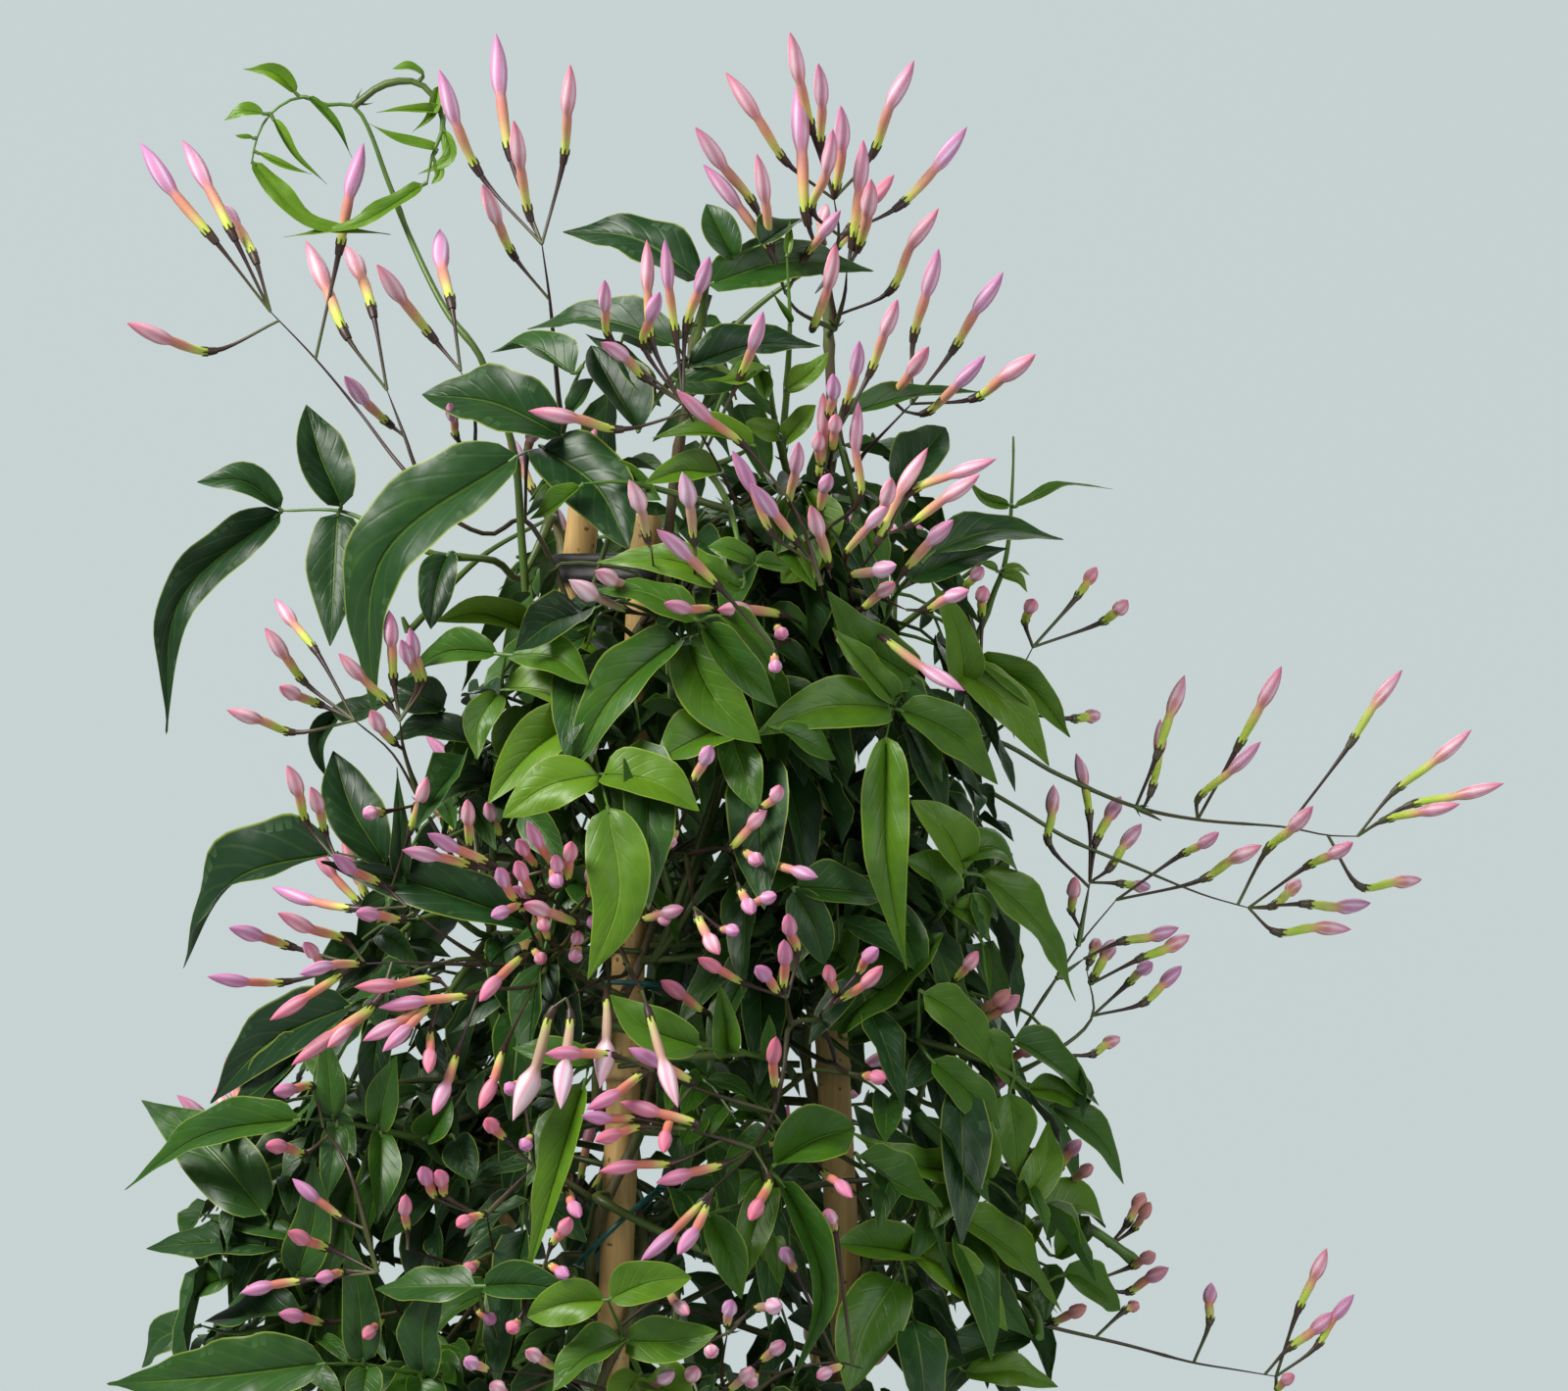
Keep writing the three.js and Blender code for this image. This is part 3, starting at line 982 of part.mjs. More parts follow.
const LEAST_BUD = 70;
const LEAST_LEAF = 64;
const drawnLength = ([column, row, endColumn, endRow]) => Math.hypot(endColumn - column, endRow - row);
SHOOTS.forEach(([name, , , setBack, , , leaves], k) => {
  leaves.filter((leaf) => drawnLength(leaf) >= LEAST_LEAF).forEach((leaf) => {
    placeOrgan(name, shoots[k], (shift) => drawnLeaf(shoots[k], leaf, setBack, shift));
  });
});
SPRAYS.forEach(([name, , , setBack, fullLength, , , buds], k) => {
  buds.filter((bud) => drawnLength(bud) >= LEAST_BUD).forEach((bud) => {
    placeOrgan(name, sprays[k], (shift) => drawnBud(sprays[k], bud, setBack, fullLength, shift));
  });
});
BRANCHES.forEach(([name], k) => {
  branches[k].ends.forEach((index, order) => {
    const joint = branches[k].joints[index].centre;
    const turn = order % 2 ? -0.9 : 0.4;
    placeOrgan(name, branches[k], (shift) => branchLeaf(joint, turn, 10 * k + order, shift));
  });
});

SHOOTS.forEach(([name, , , , greenness], k) => {
  addMesh(name, join(shoots[k].solids), DARK_LEAF.clone().lerp(BRIGHT_LEAF, greenness), 0.45);
});
SPRAYS.forEach(([name, , , , , blush], k) => {
  addMesh(name, join(sprays[k].solids), PALE_BUD.clone().lerp(ROSY_BUD, blush), 0.6);
});
BRANCHES.forEach(([name], k) => addMesh(name, join(branches[k].solids), DARK_LEAF.clone(), 0.45));

export default plant;
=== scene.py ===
"""A pink jasmine (Jasminum polyanthum) in its pot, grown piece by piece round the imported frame.

Places are worked out in the frame's millimetres and turned to metres when a mesh is made.
"""

import math
import random

import bpy
import numpy as np
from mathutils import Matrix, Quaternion, Vector, noise


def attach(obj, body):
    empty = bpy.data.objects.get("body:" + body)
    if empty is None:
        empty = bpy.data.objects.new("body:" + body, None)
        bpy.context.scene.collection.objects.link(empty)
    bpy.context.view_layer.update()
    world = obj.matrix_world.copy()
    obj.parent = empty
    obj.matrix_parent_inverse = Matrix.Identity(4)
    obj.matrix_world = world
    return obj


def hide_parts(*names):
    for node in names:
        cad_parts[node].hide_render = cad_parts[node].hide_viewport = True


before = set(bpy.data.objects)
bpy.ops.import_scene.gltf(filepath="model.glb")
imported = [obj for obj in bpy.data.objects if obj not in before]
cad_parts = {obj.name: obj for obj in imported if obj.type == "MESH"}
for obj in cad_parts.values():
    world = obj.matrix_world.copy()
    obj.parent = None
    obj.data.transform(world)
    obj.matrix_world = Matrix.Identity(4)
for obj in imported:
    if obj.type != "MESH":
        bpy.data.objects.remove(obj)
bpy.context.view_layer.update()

MM = 0.001
TURN = 2 * math.pi

# ---- Driving sizes, mm, as the frame has them ----
CANE_RADIUS = 4
VINE_RADIUS = 1.3
SHOOT_RADIUS = 1.1
SPRAY_RADIUS = 0.75
GAP = 0.3
POT_HEIGHT = 130
POT_FOOT_RADIUS = 62
POT_RIM_RADIUS = 85
POT_WALL = 2.5
POT_FLOOR = 3
RIM_HEIGHT = 11
RIM_STEP = 3
# Leaves beside and over the pot keep this far from it.
LEAF_CLEARANCE = 4
SOIL_TOP = 117
SOIL_MOUND = 5
CANE_DEPTH_IN_SOIL = 60
VINE_DEPTH_IN_SOIL = 12
TWINE_PITCH = 84
TWINE_START = SOIL_TOP + 40
TWINE_TOP = 396
ROOT_REACH = 16
TWINE_REACH = CANE_RADIUS + VINE_RADIUS + 1
STOREY = 72
SIDE_STEM_TURN = 24

# The front elevation's grid: SQUARE mm squares, columns to the right and rows downward, as seen from EYE.
SQUARE = 0.23
AXIS_COLUMN = 655
FLOOR_ROW = 2332
EYE = np.array([33.35, -1500, 373.2])

# The bush's outline: height, middle and half width. Its front bulges by BULGE of the half width.
BULGE = 0.7
BUSH = [
  [125, 0, 84], [165, -2, 104], [210, -3, 116], [300, 0, 108], [375, 6, 96], [430, 12, 84], [480, 14, 66],
  [535, 16, 40],
]

# Where the foliage is too dense to see through: height, left and right.
THICKET = [
  [130, -70, 70], [160, -92, 88], [214, -100, 92], [249, -98, 88], [283, -82, 90], [318, -62, 76],
  [345, -44, 68], [375, -30, 62], [398, -26, 58], [421, -22, 54], [440, -12, 36],
]

# The edges of the foliage between the drawn leaves, seen from the front: height, left and right.
EDGES = [
  [130, -104, 98], [214, -114, 102], [237, -110, 106], [260, -104, 108], [283, -90, 102], [306, -74, 86],
  [329, -60, 88], [352, -49, 91], [375, -43, 92], [398, -40, 84], [421, -34, 80], [445, -20, 60],
  [470, 0, 40],
]

# What shows with nothing in front of it, [left, top, right, bottom] on the grid, and how deep it lies.
BARE = [
  [574, 498, 624, 560], [628, 540, 684, 648], [600, 945, 676, 1400], [824, 1070, 892, 1345],
  [335, 868, 535, 950],
]
BARE_DEPTH = 14

# ---- The drawing: canes, vines, leafy shoots and bud sprays ----
# A cane: its foot at the soil and its top, each [x, y, z].
CANES = [
  [[-50, 15, SOIL_TOP], [-13.4, 2, 418]],
  [[-10, -34, SOIL_TOP], [1, -4, 415]],
  [[54, 14, SOIL_TOP], [38, 8, 414]],
]

# A vine: name, cane, bearing round the cane at the top of its twining (degrees), then the depth and the grid
# places (column, row) of its free top.
VINES = [
  ["vine_left", 0, 105, 16, [[574, 560], [562, 505], [570, 450]]],
  ["vine_middle_front", 1, 300, -20, [[680, 560], [690, 470], [703, 400], [708, 350], [722, 300]]],
  ["vine_middle_back", 1, 120, 0, []],
  ["vine_right", 2, 285, -6, [[832, 560], [850, 460], [848, 400], [846, 350], [843, 300]]],
]

# A shoot: name, vine, row where it leaves the vine, how far it is set back (mm), greenness, stems and leaves.
# Greenness sets how light its leaves are: partly their own tone, and partly painted shade and painted light,
# darker where the shoot lies in shadow and lighter where it is lit.
# A stem is a run of [column, row]. A leaf is [base column, base row, tip column, tip row, width, bow], and
# one in the shade also says how much farther back it lies (mm), which paints it darker as painted shade.
SHOOTS = [
  ["shoot_curled", 0, 760, -6, 0.9, [
    [[552, 700], [541, 645], [533, 560], [526, 470], [514, 425], [500, 390], [488, 360], [456, 318],
      [417, 239], [398, 190], [361, 108], [334, 107], [306, 99], [276, 116], [262, 141], [257, 165]],
    [[361, 108], [392, 86], [426, 84], [444, 101], [452, 128], [441, 159], [436, 186]],
  ], [
    [305, 93, 248, 70, 18, 8], [269, 116, 228, 122, 16, 6], [258, 142, 240, 138, 8, 0],
    [314, 99, 360, 161, 12, -6], [272, 120, 336, 186, 14, 6], [264, 153, 319, 177, 11, 4],
    [257, 165, 400, 237, 22, 26], [432, 77, 400, 69, 14, 5], [447, 88, 421, 135, 14, -8],
    [452, 117, 383, 113, 13, 3], [446, 152, 375, 124, 16, -4], [456, 124, 426, 177, 18, -20],
    [441, 165, 440, 188, 13, -8], [436, 190, 288, 242, 22, -12], [533, 642, 447, 630, 30, 10],
    [546, 642, 622, 672, 28, -10],
  ]],
  ["shoot_left_top", 0, 505, -10, 0.2, [
    [[552, 470], [540, 461], [528, 465]],
    [[552, 470], [572, 446], [583, 400], [597, 368]],
  ], [
    [528, 465, 374, 743, 98, 70], [553, 457, 642, 560, 72, -16], [571, 444, 430, 402, 66, 12],
    [586, 381, 500, 359, 38, 16], [584, 420, 606, 386, 26, 0],
  ]],
  ["shoot_left_far", 0, 536, -4, 0.1, [
    [[530, 590], [505, 572], [440, 564], [378, 533], [346, 521], [288, 521]],
  ], [
    [348, 516, 313, 412, 60, -4], [345, 524, 336, 658, 58, 0], [290, 519, 200, 490, 38, 14],
    [286, 523, 169, 750, 60, 50], [457, 566, 440, 640, 40, 4],
  ]],
  ["shoot_top_middle", 1, 350, 4, 0.15, [
    [[716, 330], [722, 288], [748, 262], [776, 250]],
    [[716, 330], [703, 366], [692, 354]],
    [[703, 366], [668, 410], [652, 441]],
  ], [
    [712, 284, 572, 231, 56, 16], [724, 290, 895, 273, 48, -16], [748, 262, 721, 207, 42, 0],
    [776, 250, 818, 222, 40, 0], [689, 352, 535, 331, 44, 16], [703, 373, 838, 352, 52, -10],
    [650, 441, 603, 352, 62, 0], [664, 412, 598, 338, 34, 8], [690, 388, 764, 392, 26, 0],
  ]],
  ["shoot_top_young", 3, 460, 0, 0.8, [
    [[820, 500], [800, 470], [803, 395], [806, 330], [803, 262]],
    [[800, 470], [789, 420], [785, 374]],
  ], [
    [785, 376, 717, 388, 24, -6], [776, 380, 782, 408, 22, 0], [803, 397, 845, 358, 26, 4],
    [803, 447, 832, 413, 24, 0], [795, 443, 762, 430, 20, 0], [804, 264, 806, 222, 10, 0],
    [806, 330, 788, 296, 9, 0], [822, 505, 846, 566, 34, -6], [815, 508, 796, 562, 28, 4],
    [846, 528, 790, 562, 42, 8], [804, 520, 832, 590, 34, -6],
    [838, 552, 798, 594, 36, 0], [800, 548, 834, 600, 28, 0],
  ]],
  ["shoot_middle_high", 1, 470, 1, 0.7, [
    [[722, 480], [745, 520], [760, 592]],
    [[722, 480], [770, 455]],
    [[745, 520], [640, 492], [596, 493]],
  ], [
    [734, 484, 658, 493, 30, 8], [770, 454, 665, 446, 34, 8], [592, 494, 540, 530, 24, -4],
    [745, 592, 608, 573, 38, 12], [768, 574, 722, 556, 26, 4], [770, 575, 808, 578, 20, 0],
    [757, 600, 700, 560, 30, -4],
  ]],
  ["shoot_middle", 2, 700, -4, 0.65, [
    [[724, 690], [716, 650], [712, 633]],
    [[724, 690], [752, 735], [790, 742]],
  ], [
    [694, 654, 578, 790, 62, 16], [714, 634, 794, 722, 44, 2], [711, 632, 600, 600, 40, 12],
    [733, 628, 792, 694, 34, -10], [704, 655, 776, 758, 62, 12], [748, 752, 772, 828, 38, 0],
    [745, 738, 670, 774, 50, 0], [795, 742, 855, 773, 32, 0],
  ]],
  ["shoot_left_small", 0, 820, -4, 0.75, [
    [[556, 800], [532, 746], [513, 707], [516, 668]],
  ], [
    [508, 667, 410, 690, 34, 14], [522, 668, 601, 697, 42, -12], [516, 703, 598, 728, 36, -10],
    [509, 708, 487, 775, 32, 10], [542, 738, 514, 778, 42, 8],
  ]],
  ["shoot_left_middle", 1, 850, -10, 0.9, [
    [[604, 700], [600, 735], [606, 765], [612, 791], [620, 822]],
  ], [
    [597, 730, 497, 818, 54, 8], [610, 791, 512, 834, 50, 10], [616, 790, 715, 824, 50, -10],
    [620, 824, 600, 1000, 66, -22],
  ]],
  ["shoot_right_upper", 3, 780, -8, 0.7, [
    [[958, 740], [944, 700], [932, 698], [911, 724], [904, 752]],
  ], [
    [908, 723, 771, 748, 46, 14], [904, 752, 923, 992, 64, 8], [918, 724, 1024, 800, 44, -12],
    [930, 692, 845, 602, 44, -12], [910, 714, 850, 640, 30, 0],
  ]],
  ["shoot_right_top", 3, 810, 1, 0.85, [
    [[968, 760], [984, 700], [990, 669], [1005, 630], [1016, 600], [1024, 580], [1030, 545], [1032, 515],
      [1034, 470], [1034, 445]],
  ], [
    [1035, 517, 1137, 496, 12, -12], [1029, 515, 988, 488, 12, -8], [1024, 582, 1052, 586, 12, -6],
    [1022, 588, 1049, 604, 14, -4], [1018, 583, 1001, 573, 10, 0], [996, 672, 1093, 753, 38, -12],
    [980, 684, 1072, 782, 48, -12], [984, 700, 950, 592, 36, 10],
  ]],
  ["shoot_right_inner", 3, 640, 2, 0.35, [
    [[892, 640], [915, 606], [940, 575]],
    [[892, 640], [880, 540], [900, 505]],
    [[880, 540], [850, 428]],
  ], [
    [926, 591, 1031, 556, 32, -4], [950, 565, 1086, 550, 38, -16], [912, 500, 965, 434, 50, 0],
    [854, 425, 1012, 397, 26, -8],
  ]],
  ["shoot_right_middle", 3, 960, -4, 0.68, [
    [[900, 990], [940, 952], [966, 924], [986, 891]],
    [[900, 990], [915, 1040], [935, 1060], [938, 1010]],
    [[935, 1060], [1000, 1080], [1035, 1098], [1072, 1128]],
  ], [
    [1000, 893, 1098, 1022, 48, -16], [972, 926, 1010, 958, 34, -10], [1003, 962, 1010, 1026, 9, -2],
    [962, 921, 925, 874, 44, 6], [984, 888, 931, 816, 44, 8], [978, 880, 1042, 888, 38, -20],
    [938, 1004, 1022, 1096, 42, -8], [951, 1082, 1026, 1166, 40, -6], [1033, 1064, 1122, 1128, 42, -6],
    [1048, 1110, 1105, 1128, 26, -6], [1072, 1128, 1151, 1208, 36, -12], [1004, 1054, 1046, 1116, 30, 0],
    [1030, 1115, 1040, 1200, 48, 0],
  ]],
  ["shoot_middle_low", 1, 1090, -6, 0.6, [
    [[790, 1080], [760, 1074], [716, 1069]],
    [[760, 1074], [640, 1082], [605, 1080], [598, 1100]],
  ], [
    [714, 1069, 622, 1014, 46, -10], [744, 1074, 734, 1004, 28, 0], [783, 1075, 786, 1036, 16, 0],
    [603, 1079, 522, 1068, 30, 0], [597, 1106, 533, 1310, 50, 0],
  ]],
  ["shoot_right_centre", 3, 1000, 2, 0.5, [
    [[856, 1048], [836, 975], [808, 905]],
  ], [
    [866, 1060, 963, 1008, 30, 8], [852, 1046, 962, 948, 80, 4], [812, 905, 905, 912, 42, 0],
    [806, 908, 842, 985, 44, -6], [850, 990, 868, 932, 42, 0],
  ]],
  ["shoot_right_low", 3, 1290, -6, 0.78, [
    [[905, 1335], [916, 1304], [932, 1277], [968, 1243], [1008, 1205], [1040, 1232]],
    [[932, 1277], [900, 1220], [872, 1176]],
  ], [
    [968, 1262, 1054, 1366, 48, 4, 10], [935, 1300, 985, 1392, 40, 6, 12], [1040, 1236, 985, 1196, 36, 4, 12],
    [1012, 1210, 1046, 1262, 34, 0, 12], [925, 1195, 872, 1128, 34, 0, 12], [960, 1200, 930, 1120, 32, 0, 12],
    [1004, 1210, 950, 1252, 38, 8], [928, 1278, 853, 1268, 40, 0], [914, 1306, 868, 1419, 62, 10],
    [936, 1278, 1030, 1358, 50, -10], [976, 1240, 1086, 1338, 46, -10], [1007, 1203, 1013, 1142, 26, 0],
    [1044, 1234, 1072, 1141, 38, 8], [990, 1198, 872, 1153, 34, -12], [866, 1174, 966, 1228, 42, 6],
  ]],
  ["shoot_right_pruned", 3, 1340, 0, 0.78, [
    [[1010, 1310], [1050, 1250], [1085, 1240], [1117, 1256], [1163, 1290]],
    [[1010, 1310], [1045, 1325], [1058, 1342], [1061, 1364]],
  ], [
    [1050, 1362, 934, 1404, 40, 6, 10], [1068, 1290, 1066, 1348, 30, 0, 8],
    [1030, 1330, 950, 1440, 44, 0, 12],
    [1054, 1246, 1012, 1298, 40, 0], [1064, 1240, 1131, 1250, 44, -14], [1077, 1283, 1112, 1240, 34, 0],
    [1085, 1300, 1146, 1336, 36, -4], [985, 1400, 1082, 1414, 36, -8],
  ]],
  ["shoot_four_leaf", 1, 1440, -10, 0.9, [
    [[668, 1440], [654, 1405], [638, 1366], [620, 1326]],
  ], [
    [617, 1328, 537, 1344, 42, 6], [623, 1326, 706, 1303, 42, -6], [635, 1367, 562, 1416, 44, 6],
    [641, 1368, 733, 1358, 42, 6], [652, 1404, 622, 1450, 40, 0], [660, 1408, 712, 1440, 40, 0],
  ]],
  ["shoot_low_centre", 2, 1210, -5, 0.65, [
    [[772, 1290], [778, 1225], [788, 1190]],
    [[778, 1225], [722, 1238]],
  ], [
    [722, 1240, 757, 1326, 40, -4], [784, 1212, 762, 1303, 38, 6], [797, 1206, 808, 1419, 44, -36],
    [790, 1188, 874, 1150, 54, -6], [790, 1262, 796, 1312, 20, 0],
  ]],
  ["shoot_left_bright", 0, 1180, -8, 0.45, [
    [[480, 1162], [432, 1162], [387, 1152], [342, 1143], [308, 1142]],
  ], [
    [306, 1142, 123, 1212, 44, 20], [340, 1139, 332, 1054, 34, 0], [344, 1149, 334, 1224, 30, 0],
    [386, 1147, 402, 1078, 32, 0], [389, 1158, 388, 1246, 33, 0], [437, 1158, 460, 1124, 30, 0],
    [464, 1162, 484, 1204, 32, 0],
  ]],
  ["shoot_left_dark", 0, 940, 4, 0.05, [
    [[500, 955], [430, 905], [393, 882], [345, 870]],
    [[500, 955], [500, 800], [478, 757], [440, 722], [400, 713], [350, 722]],
    [[500, 955], [430, 1035], [358, 1024], [318, 1060]],
  ], [
    [342, 870, 178, 985, 70, 36], [540, 944, 323, 877, 62, 6], [393, 880, 340, 764, 62, -8],
    [412, 896, 405, 782, 26, 0], [346, 722, 332, 795, 26, 14], [400, 715, 334, 722, 30, -6],
    [452, 722, 402, 698, 40, 0], [478, 757, 398, 752, 34, 14], [498, 800, 438, 824, 30, 12],
    [512, 958, 538, 1056, 42, 4], [552, 966, 528, 1082, 40, -6], [566, 1002, 590, 1076, 34, 0],
    [358, 1026, 211, 1127, 52, 16], [312, 1070, 267, 1120, 24, 4], [320, 1062, 232, 1130, 44, -4],
  ]],
  ["shoot_left_low", 0, 1350, 0, 0.25, [
    [[360, 1395], [318, 1340], [303, 1310], [288, 1276], [272, 1240]],
    [[318, 1340], [240, 1360], [205, 1352]],
  ], [
    [270, 1238, 141, 1118, 62, 10], [284, 1273, 146, 1270, 46, 4], [306, 1335, 207, 1345, 50, -2],
    [200, 1352, 142, 1394, 42, 10], [245, 1300, 188, 1318, 36, 0], [300, 1262, 196, 1232, 24, 0],
    [304, 1300, 318, 1180, 46, 10],
  ]],
  ["shoot_left_bottom", 0, 1450, -6, 0.4, [
    [[500, 1440], [470, 1412], [429, 1403], [373, 1392], [333, 1391]],
    [[470, 1412], [492, 1350], [488, 1312]],
  ], [
    [331, 1391, 101, 1411, 60, -4], [371, 1388, 352, 1252, 42, 4], [375, 1396, 366, 1446, 36, 0],
    [432, 1400, 452, 1296, 46, -10], [430, 1408, 430, 1448, 40, 0], [484, 1312, 380, 1312, 36, 0],
    [494, 1312, 584, 1318, 38, -4],
  ]],
]

